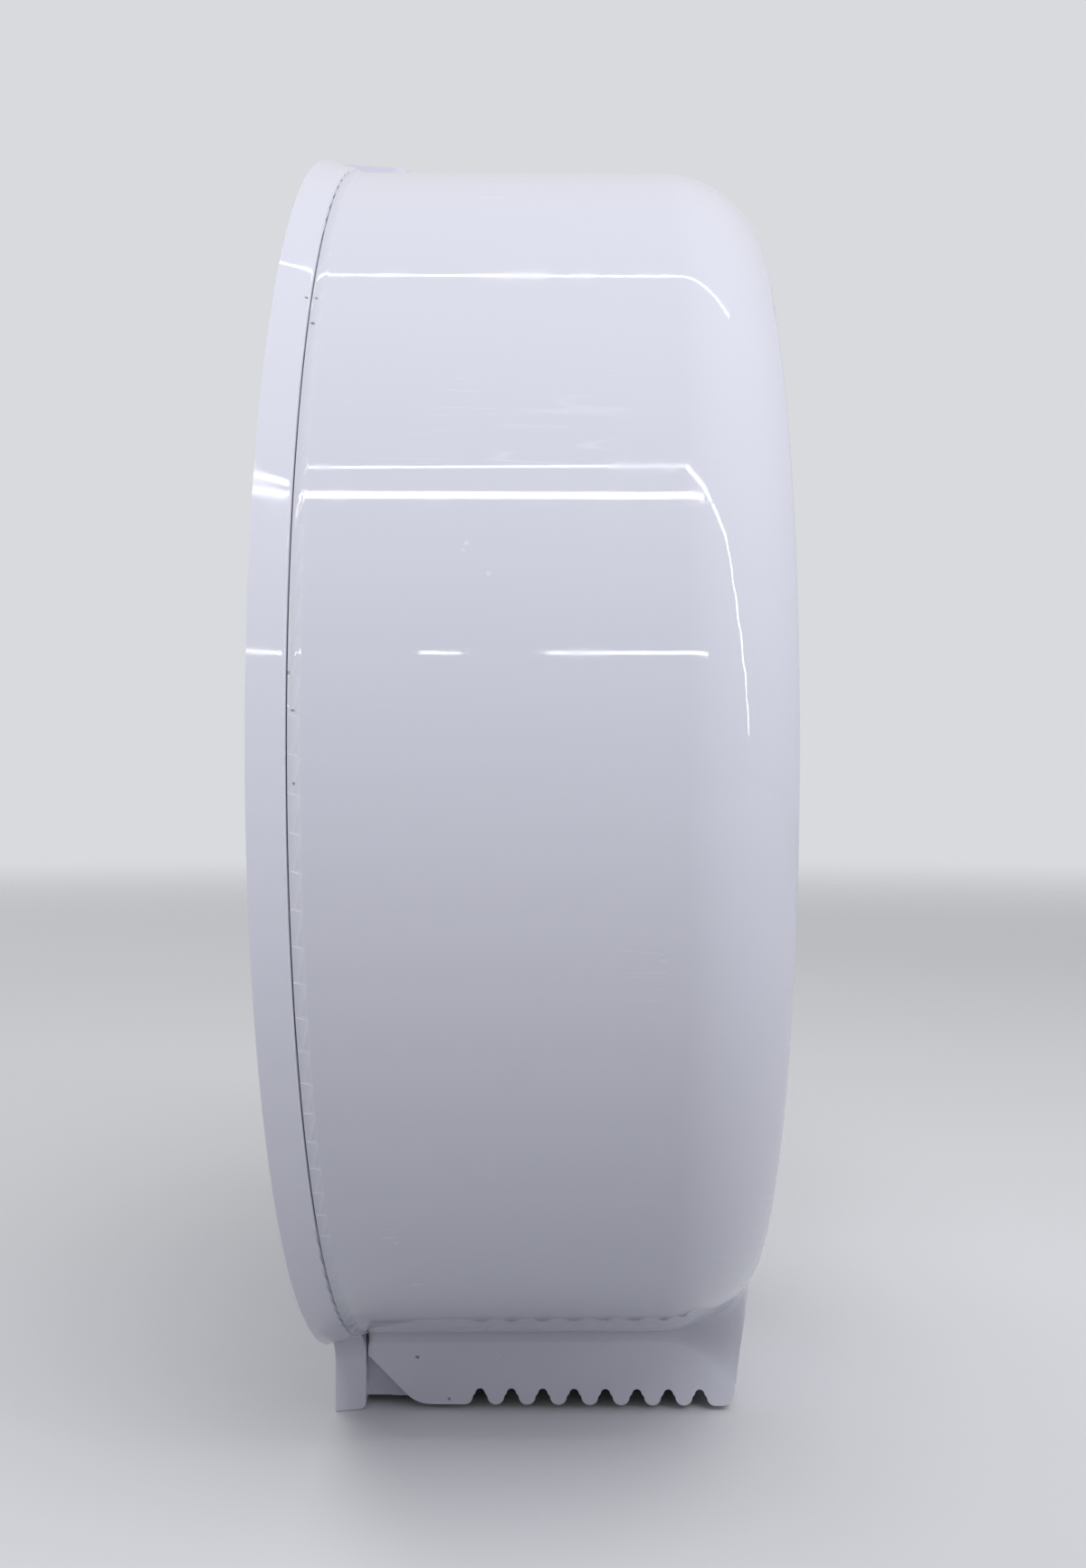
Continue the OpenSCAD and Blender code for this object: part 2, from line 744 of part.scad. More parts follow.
module roll_hub() {
    face = hub_rear + hub_flange_t;
    color("#dcdde2") upright() {
        rotate_extrude() {
            difference() {
                union() {
                    translate([hub_bore, hub_rear]) square([hub_flange_r - 1 - hub_bore, hub_flange_t]);
                    translate([hub_flange_r - hub_flange_t / 2 - 0.2, hub_rear + hub_flange_t / 2])
                        circle(r = hub_flange_t / 2);
                }
                translate([hub_core_r + 1, hub_rear - 1])
                    square([hub_r - hub_core_r - 2 * hub_wall, 1 + flange_relief]);
            }
            translate([hub_bore, hub_rear]) square([hub_wall, hub_front - hub_rear]);
            translate([hub_r - hub_wall, face - eps]) square([hub_wall, hub_front - face + eps]);
        }
        for (i = [0 : web_count - 1]) rotate(i * 360 / web_count)
            translate([hub_core_r - boss_bite, -web_t / 2, face - eps])
                cube([hub_r - hub_wall - hub_core_r + 2 * boss_bite, web_t,
                    hub_front - cap_skirt - web_end_gap - face]);
    }
}

module end_washer() {
    color(steel) upright() ring(end_washer_r, hub_screw_r, post_end, post_end + end_washer_t);
}

module hub_screw() {
    color(steel) upright() translate([0, 0, post_end + end_washer_t])
        screw_in(hub_head_r, hub_head_h, hub_screw_r, hub_screw_len + end_washer_t - 2);
}

// Domed cap pressed into the hub's open end
module hub_cap() {
    edge = 4;
    color(white) upright() rotate_extrude() difference() {
        union() {
            translate([0, hub_front]) square([hub_r, cap_front - hub_front - edge]);
            translate([0, hub_front]) square([hub_r - edge, cap_front - hub_front]);
            translate([hub_r - edge, cap_front - edge]) circle(r = edge);
            translate([0, hub_front - cap_skirt]) square([hub_r - hub_wall, cap_skirt + 1]);
        }
        translate([-1, hub_front - cap_skirt - 1])
            square([hub_r - hub_wall - cap_wall + 1, cap_front - cap_wall - hub_front + cap_skirt + 1]);
    }
}

// ---- lock ----

module lock_body() {
    color(steel) upright() upward(0, lock_out) difference() {
        union() {
            cylinder_from(lock_r, lock_foot, lock_top - lock_head_t);
            cylinder_from(lock_head_r, lock_top - lock_head_t, lock_top);
        }
        cylinder_from(rotor_r + run_gap, lock_foot - 1, lock_top + 1);
        cylinder_from(cap_r + lock_fit, lock_top - cap_t, lock_top + 1);
        ring(lock_r + 1, lock_r - clip_groove, boss_foot - clip_t, boss_foot);
    }
}

// Spring clip in the lock body's groove, open to the front
module lock_clip() {
    mouth = lock_r - clip_groove - 0.6;
    color(steel) upright() upward(0, lock_out) difference() {
        ring(lock_r + 2.4, lock_r - clip_groove, boss_foot - clip_t, boss_foot);
        translate([-mouth, -20, boss_foot - 5]) cube([2 * mouth, 20, 10]);
    }
}

module lock_barrel() {
    color("#8d9097") upright() upward(0, lock_out) difference() {
        union() {
            cylinder_from(rotor_r, cam_top, lock_top - cap_t + run_gap);
            cylinder_from(cap_r, lock_top - cap_t + run_gap, lock_top - screw_clear);
            translate([-cam_square / 2, -cam_square / 2, cam_top - cam_t + lock_fit])
                cube([cam_square, cam_square, cam_t]);
        }
        cylinder_from(cam_screw_r, cam_top - cam_t - 1, cam_top - cam_t + cam_screw_len + 1);
        translate([-rotor_r * 0.7, -key_slot_w / 2, lock_top - screw_clear - key_slot_h])
            cube([rotor_r * 1.4, key_slot_w, key_slot_h + 1]);
    }
}

// Cam bent up at its end: it points sideways when open, and forwards when locked
module lock_cam() {
    color(steel) upright() upward(cam_top - cam_t, lock_out) difference() {
        union() {
            cylinder(r = cam_hub_r, h = cam_t);
            translate([0, -cam_w / 2, 0]) cube([cam_reach, cam_w, cam_t]);
            translate([cam_reach - cam_hook_t, -cam_w / 2, 0]) cube([cam_hook_t, cam_w, cam_hook_h]);
        }
        translate([-cam_hole / 2, -cam_hole / 2, -1]) cube([cam_hole, cam_hole, cam_t + 2]);
    }
}

module cam_screw() {
    color(steel) upright() upward(cam_top - cam_t, lock_out) 
        pan_screw(cam_screw_head_r, cam_screw_head_h, cam_screw_r, cam_screw_len);
}

// Keeper that the cam catches: a plate under the cover's top with a post hanging down
module cover_keeper() {
    rear = keeper_post_out - keeper_post_r;
    color(steel) upright() difference() {
        union() {
            translate([-keeper_w / 2, keeper_seat - keeper_base_t, rear])
                cube([keeper_w, keeper_base_t, keeper_len]);
            upward(keeper_foot, keeper_post_out)
                cylinder(r = keeper_post_r, h = keeper_seat - keeper_foot - 1);
        }
        at_keeper_screws(keeper_seat - keeper_base_t - 1)
            cylinder(r = small_screw_r + screw_clear, h = keeper_base_t + 2);
    }
}

module keeper_screws() {
    color(steel) upright() at_keeper_screws(keeper_seat - keeper_base_t)
        pan_screw(small_head_r, small_head_h, small_screw_r, keeper_screw_len - pilot_end);
}

// ---- window ----

module level_window() {
    color("#5b6068") upright() translate([0, window_up, 0]) {
        translate([0, 0, face_in - eps]) linear_extrude(cover_wall + eps)
            round_slot(window_w - 2 * window_gap, window_l - 2 * window_gap);
        translate([0, 0, face_in - window_flange_t]) linear_extrude(window_flange_t)
            round_slot(window_w + 2 * window_flange, window_l + 2 * window_flange);
    }
}

module window_frame() {
    color(white) upright() translate([0, 0, frame_out]) linear_extrude(frame_t) difference() {
        union() {
            translate([0, window_up]) round_slot(window_w + 2 * window_flange, window_l + 2 * window_flange);
            at_window_screws(0) circle(r = window_pad_r);
            for (sy = [-1, 1]) translate([-window_screw_x, window_up + sy * window_screw_up - window_pad_r])
                square([2 * window_screw_x, 2 * window_pad_r]);
        }
        translate([0, window_up]) round_slot(window_w - 2, window_l - 2);
        at_window_screws(0) circle(r = small_screw_r + screw_clear);
    }
}

module window_screws() {
    color(steel) upright() at_window_screws(frame_out)
        pan_screw(small_head_r, small_head_h, small_screw_r, window_screw_len);
}

back_plate();
front_cover();
level_window();
window_frame();
window_screws();
hinge_pin_left();
hinge_pin_right();
spindle_bracket();
bracket_screws();
thrust_washer();
rear_bush();
front_bush();
roll_hub();
end_washer();
hub_screw();
hub_cap();
lock_body();
lock_clip();
lock_barrel();
lock_cam();
cam_screw();
cover_keeper();
keeper_screws();
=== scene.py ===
"""Looks of a wall hung jumbo toilet roll dispenser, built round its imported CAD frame.

Everything is in metres in the part's own frame: +X to the right, -Y out of the wall, +Z up.
"""

import logging
import math
from dataclasses import dataclass
from enum import Enum
from typing import Any, Optional, Sequence

import bmesh
import bpy
from bmesh.types import BMesh, BMFace
from bpy.types import ID, Material, Node, NodeSocket, NodeTree, Object
from mathutils import Matrix, Vector


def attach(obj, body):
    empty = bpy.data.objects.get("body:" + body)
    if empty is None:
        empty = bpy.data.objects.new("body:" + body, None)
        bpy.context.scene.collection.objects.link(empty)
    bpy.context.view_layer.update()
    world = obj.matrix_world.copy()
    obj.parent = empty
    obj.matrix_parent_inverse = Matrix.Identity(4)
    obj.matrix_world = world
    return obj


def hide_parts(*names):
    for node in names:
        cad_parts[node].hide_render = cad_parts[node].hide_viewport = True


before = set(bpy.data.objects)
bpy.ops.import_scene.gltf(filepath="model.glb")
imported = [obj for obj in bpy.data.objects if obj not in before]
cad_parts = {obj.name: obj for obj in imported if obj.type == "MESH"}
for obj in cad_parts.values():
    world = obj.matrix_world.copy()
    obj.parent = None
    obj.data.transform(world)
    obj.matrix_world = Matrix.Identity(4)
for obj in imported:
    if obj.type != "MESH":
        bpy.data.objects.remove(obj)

LOG = logging.getLogger("dispenser")
MM = 0.001
Triple = tuple[float, float, float]
Spot = tuple[float, float, float, float]


class Slot(Enum):
    """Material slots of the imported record."""

    WHITE = "white_abs"
    GREY = "grey_abs"
    SMOKED = "smoked_polycarbonate"
    ACETAL = "acetal"
    NYLON = "nylon"
    STEEL = "plated_steel"
    CHROME = "chromed_zinc"


class Body(Enum):
    """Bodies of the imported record."""

    FRAME = "frame"
    COVER = "cover"
    HUB = "hub"
    LOCK = "lock"


# ---- small tools ----


def linear(code: str) -> tuple[float, float, float, float]:
    """Turns an sRGB hex colour into linear light.

    Args:
        code: Colour such as "#e4e5ec".

    Returns:
        Red, green, blue and alpha in linear light.
    """
    values = [int(code[i : i + 2], 16) / 255 for i in (1, 3, 5)]
    light = [v / 12.92 if v <= 0.04045 else ((v + 0.055) / 1.055) ** 2.4 for v in values]
    return light[0], light[1], light[2], 1.0


@dataclass(frozen=True)
class Nodes:
    """A node tree that is filled node by node.

    Attributes:
        tree: The node tree.
    """

    tree: NodeTree

    def add(
        self,
        kind: str,
        settings: Optional[dict[str, Any]] = None,
        inputs: Optional[dict[Any, Any]] = None,
    ) -> Node:
        """Adds a node with its settings, and sets or links its inputs.

        Args:
            kind: Blender's name for the node's type.
            settings: Properties of the node.
            inputs: Values or output sockets by input name or number.

        Returns:
            The new node.
        """
        node = self.tree.nodes.new(kind)
        for name, value in (settings or {}).items():
            setattr(node, name, value)
        for key, value in (inputs or {}).items():
            if isinstance(value, NodeSocket):
                self.tree.links.new(value, node.inputs[key])
            else:
                node.inputs[key].default_value = value
        return node

    def link(self, start: NodeSocket, end: NodeSocket) -> None:
        """Links an output to an input."""
        self.tree.links.new(start, end)


def per_mm(size: float) -> float:
    """Scale of a texture on Object coordinates whose features are size millimetres wide."""
    return 1.0 / (size * MM)


def new_material(name: str) -> Material:
    """Makes a material with an empty node tree.

    Args:
        name: Its name.

    Returns:
        The material.
    """
    made = bpy.data.materials.new(name)
    made.use_nodes = True
    made.node_tree.nodes.clear()
    return made


def add_object(name: str, data: ID) -> Object:
    """Puts an object with its data into the scene.

    Args:
        name: Its name.
        data: Its mesh, lamp or camera.

    Returns:
        The object.
    """
    made = bpy.data.objects.new(name, data)
    bpy.context.scene.collection.objects.link(made)
    return made


# ---- finishes ----


@dataclass(frozen=True)
class Paint(Nodes):
    """A material whose finish is being drawn.

    Attributes:
        shader: Its Principled shader.
        where: Object coordinates.
    """

    shader: Node
    where: NodeSocket


@dataclass(frozen=True)
class Finish:
    """A finish with its colour and gloss; subclasses add what the eye sees on that material.

    Attributes:
        name: Name of the Blender material.
        colour: sRGB hex colour.
        roughness: Roughness of the clean surface.
        ior: Index of refraction.
        metallic: 1 for a bare metal.
        slot: The record's slot that the finish belongs to; not used.
    """

    name: str
    colour: str
    roughness: float
    slot: Slot
    ior: float = 1.5
    metallic: float = 0.0

    def material(self) -> Material:
        """Makes the material once, and returns the same one after that.

        Returns:
            The material.
        """
        known = bpy.data.materials.get(self.name)
        if known is not None:
            return known
        made = new_material(self.name)
        nodes = Nodes(made.node_tree)
        shader = nodes.add(
            "ShaderNodeBsdfPrincipled",
            inputs={"IOR": self.ior, "Metallic": self.metallic, "Roughness": self.roughness},
        )
        nodes.add("ShaderNodeOutputMaterial", inputs={"Surface": shader.outputs[0]})
        where = nodes.add("ShaderNodeTexCoord").outputs["Object"]
        self.pattern(Paint(nodes.tree, shader, where))
        return made

    def pattern(self, paint: Paint) -> None:
        """Adds the surface's own variation; a plain finish gets a faint unevenness of colour.

        Args:
            paint: The material so far.
        """
        self.shade(paint, 0.94, 40.0)

    def shade(self, paint: Paint, depth: float, size: float) -> NodeSocket:
        """Links a colour that drifts between the finish's own and a darker one.

        Args:
            paint: The material so far.
            depth: The darker colour as a share of the finish's own.
            size: Width of the drift in millimetres.

        Returns:
            The colour's socket.
        """
        own = linear(self.colour)
        dark = (own[0] * depth, own[1] * depth, own[2] * depth, 1.0)
        cloud = paint.add(
            "ShaderNodeTexNoise", inputs={"Vector": paint.where, "Scale": per_mm(size), "Detail": 2.0}
        )
        mixed = paint.add(
            "ShaderNodeMix", {"data_type": "RGBA"}, {0: cloud.outputs["Fac"], 6: own, 7: dark}
        )
        paint.link(mixed.outputs[2], paint.shader.inputs["Base Color"])
        return mixed.outputs[2]


@dataclass(frozen=True)
class GlossAbs(Finish):
    """Injection moulded ABS from a polished mould: clear, nearly straight reflections, hand smears
    and hairline scratches that dull the gloss in places, and a grey strip along the cover's rear
    edge that is partly dust and partly painted shade of the cove by the rim.

    Attributes:
        dust_and_shade_from: Where the strip of dust and painted shade starts, in millimetres out of
            the wall.
        dust_and_shade_to: Where it ends.
        marks: Small dirt marks, each as X, distance out, height and radius in millimetres.
        scuffs: Small pale scuffs in the same form.
    """

    dust_and_shade_from: float = 0.0
    dust_and_shade_to: float = 0.0
    marks: tuple[Spot, ...] = ()
    scuffs: tuple[Spot, ...] = ()

    def pattern(self, paint: Paint) -> None:
        """Adds drift of colour, smears, hairlines, waviness, dust with painted shade, and marks.

        Args:
            paint: The material so far.
        """
        colour = self.shade(paint, 0.98, 80.0)
        self.smears(paint)
        # The strip by the rim is greyed partly as dust and partly as painted shade of the cove.
        if self.dust_and_shade_to > self.dust_and_shade_from:
            colour = self.dust_and_shade(paint, colour)
        colour = self.spots(paint, colour, self.marks, "#67625a", 0.8)
        colour = self.spots(paint, colour, self.scuffs, "#f2f3f8", 0.45)
        paint.link(colour, paint.shader.inputs["Base Color"])

    def smears(self, paint: Paint) -> None:
        """Adds the roughness of smears and hairlines, and the mould's faint waviness.

        Args:
            paint: The material so far.
        """
        noise = {}
        for name, size, detail, bend in (
            ("smear", 30.0, 6.0, 1.4),
            ("patch", 34.0, 1.0, 0.0),
            ("wave", 55.0, 1.0, 0.0),
        ):
            given = {"Vector": paint.where, "Scale": per_mm(size), "Detail": detail}
            given["Distortion"] = bend
            noise[name] = paint.add("ShaderNodeTexNoise", inputs=given).outputs["Fac"]
        dull = paint.add(
            "ShaderNodeMapRange",
            inputs={
                "Value": noise["smear"],
                "From Min": 0.5,
                "From Max": 0.72,
                "To Min": self.roughness,
                "To Max": self.roughness + 0.07,
            },
        )
        # Wiping leaves hairlines a few hundredths of a millimetre wide and centimetres long; they
        # are drawn at about a tenth, so that they show.
        stretched = paint.add(
            "ShaderNodeMapping",
            inputs={
                "Vector": paint.where,
                "Rotation": (0.5, 0.9, 0.2),
                "Scale": (per_mm(60.0), per_mm(60.0), per_mm(3.0)),
            },
        )
        strands = paint.add(
            "ShaderNodeTexNoise", inputs={"Vector": stretched.outputs[0], "Scale": 1.0, "Detail": 0.0}
        )
        line = paint.add(
            "ShaderNodeMath", {"operation": "COMPARE"}, {0: strands.outputs["Fac"], 1: 0.5, 2: 0.012}
        )
        worn = paint.add(
            "ShaderNodeMapRange",
            inputs={"Value": noise["patch"], "From Min": 0.56, "From Max": 0.66, "To Max": 0.22},
        )
        scratched = paint.add(
            "ShaderNodeMath", {"operation": "MULTIPLY"}, {0: line.outputs[0], 1: worn.outputs[0]}
        )
        rough = paint.add(
            "ShaderNodeMath", {"operation": "ADD"}, {0: dull.outputs[0], 1: scratched.outputs[0]}
        )
        paint.link(rough.outputs[0], paint.shader.inputs["Roughness"])
        # Sink waves of a large moulding are tens of millimetres long and a few microns deep.
        bump = paint.add(
            "ShaderNodeBump",
            inputs={"Height": noise["wave"], "Strength": 0.3, "Distance": 0.07 * MM},
        )
        paint.link(bump.outputs[0], paint.shader.inputs["Normal"])

    def dust_and_shade(self, paint: Paint, colour: NodeSocket) -> NodeSocket:
        """Greys the strip along the rear edge a little, as a film of dust and as painted shade of the
        cove by the rim, and scatters a few specks of lint in it.

        Args:
            paint: The material so far.
            colour: The clean colour.

        Returns:
            The colour with the painted shade, the grey film and the specks.
        """
        depth = paint.add("ShaderNodeSeparateXYZ", inputs={0: paint.where}).outputs["Y"]
        strip = paint.add(
            "ShaderNodeMapRange",
            {"interpolation_type": "SMOOTHSTEP"},
            {
                "Value": depth,
                "From Min": -self.dust_and_shade_to * MM,
                "From Max": -self.dust_and_shade_from * MM,
                "To Max": 0.3,
            },
        )
        # The grey film is partly dust and partly painted shade of the cove between rim and cover.
        shade_and_dust_film = paint.add(
            "ShaderNodeMix",
            {"data_type": "RGBA"},
            {0: strip.outputs[0], 6: colour, 7: linear("#a9abb0")},
        )
        # Specks of lint are about half a millimetre and lie a centimetre or more apart.
        cell = paint.add(
            "ShaderNodeTexVoronoi",
            inputs={"Vector": paint.where, "Scale": per_mm(9.0), "Randomness": 1.0},
        )
        small = paint.add(
            "ShaderNodeMapRange",
            inputs={"Value": cell.outputs["Distance"], "From Min": 0.07, "From Max": 0.04},
        )
        held = paint.add(
            "ShaderNodeMath", {"operation": "MULTIPLY"}, {0: small.outputs[0], 1: strip.outputs[0]}
        )
        specks = paint.add(
            "ShaderNodeMath",
            {"operation": "MULTIPLY", "use_clamp": True},
            {0: held.outputs[0], 1: 3.0},
        )
        shaded_dusty_colour = paint.add(
            "ShaderNodeMix",
            {"data_type": "RGBA"},
            {0: specks.outputs[0], 6: shade_and_dust_film.outputs[2], 7: linear("#6b6862")},
        )
        return shaded_dusty_colour.outputs[2]

    def spots(
        self,
        paint: Paint,
        colour: NodeSocket,
        places: tuple[Spot, ...],
        code: str,
        strength: float,
    ) -> NodeSocket:
        """Adds small ragged spots.

        Args:
            paint: The material so far.
            colour: The colour below the spots.
            places: Each spot's X, distance out, height and radius in millimetres.
            code: The spots' sRGB hex colour.
            strength: How much of it covers the surface.

        Returns:
            The spotted colour.
        """
        if not places:
            return colour
        ragged = paint.add(
            "ShaderNodeTexNoise", inputs={"Vector": paint.where, "Scale": per_mm(0.7), "Detail": 2.0}
        )
        wander = 0.9
        shift = paint.add(
            "ShaderNodeVectorMath",
            {"operation": "SCALE"},
            {0: ragged.outputs["Color"], "Scale": wander * MM},
        )
        moved = paint.add(
            "ShaderNodeVectorMath", {"operation": "ADD"}, {0: paint.where, 1: shift.outputs[0]}
        )
        for x, out, up, radius in places:
            # The noise is a half on average, so it moves every point by half the wander.
            centre = ((x + wander / 2) * MM, (wander / 2 - out) * MM, (up + wander / 2) * MM)
            far = paint.add(
                "ShaderNodeVectorMath", {"operation": "DISTANCE"}, {0: moved.outputs[0], 1: centre}
            )
            spot = paint.add(
                "ShaderNodeMapRange",
                inputs={
                    "Value": far.outputs["Value"],
                    "From Min": radius * MM,
                    "From Max": radius * 0.5 * MM,
                    "To Max": strength,
                },
            )
            mixed = paint.add(
                "ShaderNodeMix",
                {"data_type": "RGBA"},
                {0: spot.outputs[0], 6: colour, 7: linear(code)},
            )
            colour = mixed.outputs[2]
        return colour


@dataclass(frozen=True)
class SatinPlastic(Finish):
    """Moulded plastic from a sparked mould: an even fine grain that breaks up reflections.

    Attributes:
        grain: Width of the grain in millimetres, drawn coarse enough to show.
    """

    grain: float = 0.7

    def pattern(self, paint: Paint) -> None:
        """Adds the grain.

        Args:
            paint: The material so far.
        """
        self.shade(paint, 0.94, 30.0)
        grain = paint.add(
            "ShaderNodeTexNoise",
            inputs={"Vector": paint.where, "Scale": per_mm(self.grain), "Detail": 3.0},
        )
        bump = paint.add(
            "ShaderNodeBump",
            inputs={"Height": grain.outputs["Fac"], "Strength": 0.3, "Distance": 0.03 * MM},
        )
        paint.link(bump.outputs[0], paint.shader.inputs["Normal"])


@dataclass(frozen=True)
class PlatedMetal(Finish):
    """Plated steel or zinc: bright, with faint cloudy stains that dull it.

    Attributes:
        cloud: Width of the stains in millimetres.
        stained: How much rougher the stained parts are.
    """

    cloud: float = 3.0
    stained: float = 0.12

    def pattern(self, paint: Paint) -> None:
        """Adds the stains.

        Args:
            paint: The material so far.
        """
        self.shade(paint, 0.82, self.cloud * 2)
        stain = paint.add(
            "ShaderNodeTexNoise",
            inputs={"Vector": paint.where, "Scale": per_mm(self.cloud), "Detail": 6.0},
        )
        rough = paint.add(
            "ShaderNodeMapRange",
            inputs={
                "Value": stain.outputs["Fac"],
                "From Min": 0.35,
                "From Max": 0.7,
                "To Min": self.roughness,
                "To Max": self.roughness + self.stained,
            },
        )
        paint.link(rough.outputs[0], paint.shader.inputs["Roughness"])


@dataclass(frozen=True)
class SmokedSheet(Finish):
    """Smoked polycarbonate: clear, dark and glossy, with a faint unevenness of its smoke."""

    def pattern(self, paint: Paint) -> None:
        """Makes the sheet clear.

        Args:
            paint: The material so far.
        """
        self.shade(paint, 0.9, 25.0)
        paint.shader.inputs["Transmission Weight"].default_value = 0.85


COVER_MARKS = (
    (-168.9, 8.5, 14.3, 0.6),
    (-168.9, 9.3, 6.5, 0.45),
    (-168.9, 9.1, 2.2, 0.4),
    (-168.9, 9.1, -4.3, 0.5),
    (-168.9, 9.6, -8.6, 0.45),
    (-168.6, 10.6, -3.0, 0.35),
    (-135.4, 9.1, 101.2, 0.5),
    (-38.0, 23.1, -172.2, 0.7),
    (-38.0, 32.1, -184.0, 0.6),
    (-38.0, 20.0, -165.6, 0.5),
    (-38.0, 62.5, -165.2, 0.4),
)
COVER_SCUFFS = (
    (-163.1, 44.8, 41.8, 0.6),
    (-163.4, 44.2, 40.2, 0.5),
    (-164.6, 49.6, 35.2, 0.7),
    (-161.6, 89.4, 47.4, 0.5),
    (-167.0, 12.6, -20.6, 0.6),
)
WHITE_COVER = GlossAbs(
    "abs_white_gloss_cover",
    "#dbdcea",
    0.03,
    Slot.WHITE,
    1.54,
    # Bounds of the strip of dust and painted shade in the cove by the rim.
    dust_and_shade_from=8.4,
    dust_and_shade_to=11.4,
    marks=COVER_MARKS,
    scuffs=COVER_SCUFFS,
)
WHITE_PLATE = GlossAbs(
    "abs_white_gloss_plate", "#dbdcea", 0.04, Slot.WHITE, 1.54, marks=((-136.6, 7.1, 101.2, 0.5),)
)
GREY_ABS = SatinPlastic("abs_grey_sparked", "#c7c9cf", 0.42, Slot.GREY, 1.54)
ACETAL = SatinPlastic("acetal_natural_turned", "#ddd8c8", 0.34, Slot.ACETAL, 1.48, grain=0.5)
NYLON = SatinPlastic("nylon_black_moulded", "#35353a", 0.45, Slot.NYLON, 1.53)
ZINC_PLATE = PlatedMetal("steel_zinc_plated", "#bcbec2", 0.26, Slot.STEEL, metallic=1.0)
CHROME = PlatedMetal(
    "zinc_die_cast_chromed", "#cfd0d3", 0.1, Slot.CHROME, metallic=1.0, cloud=5.0, stained=0.06
)
SMOKED = SmokedSheet("polycarbonate_smoked", "#4b5058", 0.04, Slot.SMOKED, 1.58)


# ---- pieces ----

WELD = 0.002 * MM  # corners of a CAD mesh closer than this are one
LEVEL = 0.01 * MM  # ends of an edge closer than this in radius and place lie on one circle
HUB = 0.5 * MM  # a face nearer the axis than this has no clear way round it
SHORT = 0.004 * MM  # a profile step shorter than this gives no slope
LEANS = 0.06  # least radial part of a turned face's normal
ASKEW = 0.035  # most that such a normal points round the axis
ONE_PLANE = math.radians(0.05)  # faces that meet at less than this are one flat patch
HALVINGS = 4  # times that a long arc may be halved


def seat(piece: Object, body: Body, nodes: Sequence[str]) -> Object:
    """Puts a finished piece on its body in place of CAD nodes, and logs it.

    Args:
        piece: The piece, with its place in its mesh.
        body: The body that it moves with.
        nodes: CAD nodes that it stands for.

    Returns:
        The same piece.
    """
    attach(piece, body.value)
    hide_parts(*nodes)
    LOG.info("%s on %s, for %s", piece.name, body.value, ", ".join(nodes))
    return piece


def dress_node(name: str, finish: Finish) -> None:
    """Gives a CAD node that stays as it is its material.

    Args:
        name: The node.
        finish: Its finish.
    """
    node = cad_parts[name]
    if not node.material_slots:
        node.data.materials.append(finish.material())
    for slot in node.material_slots:
        slot.material = finish.material()
    LOG.info("%s keeps its CAD shape, in %s", name, finish.name)


def as_mesh(source: Object, name: str, finish: Finish) -> Object:
    """Turns an object with its modifiers into a plain mesh object, and removes the first one.

    Args:
        source: Object whose modifiers make the shape.
        name: Name of the plain one.
        finish: Finish of its only slot.

    Returns:
        The plain mesh object.
    """
    bpy.context.view_layer.update()
    graph = bpy.context.evaluated_depsgraph_get()
    mesh = bpy.data.meshes.new_from_object(source.evaluated_get(graph), depsgraph=graph)
    bpy.data.objects.remove(source)
    mesh.name = name
    mesh.materials.clear()
    mesh.materials.append(finish.material())
    return add_object(name, mesh)


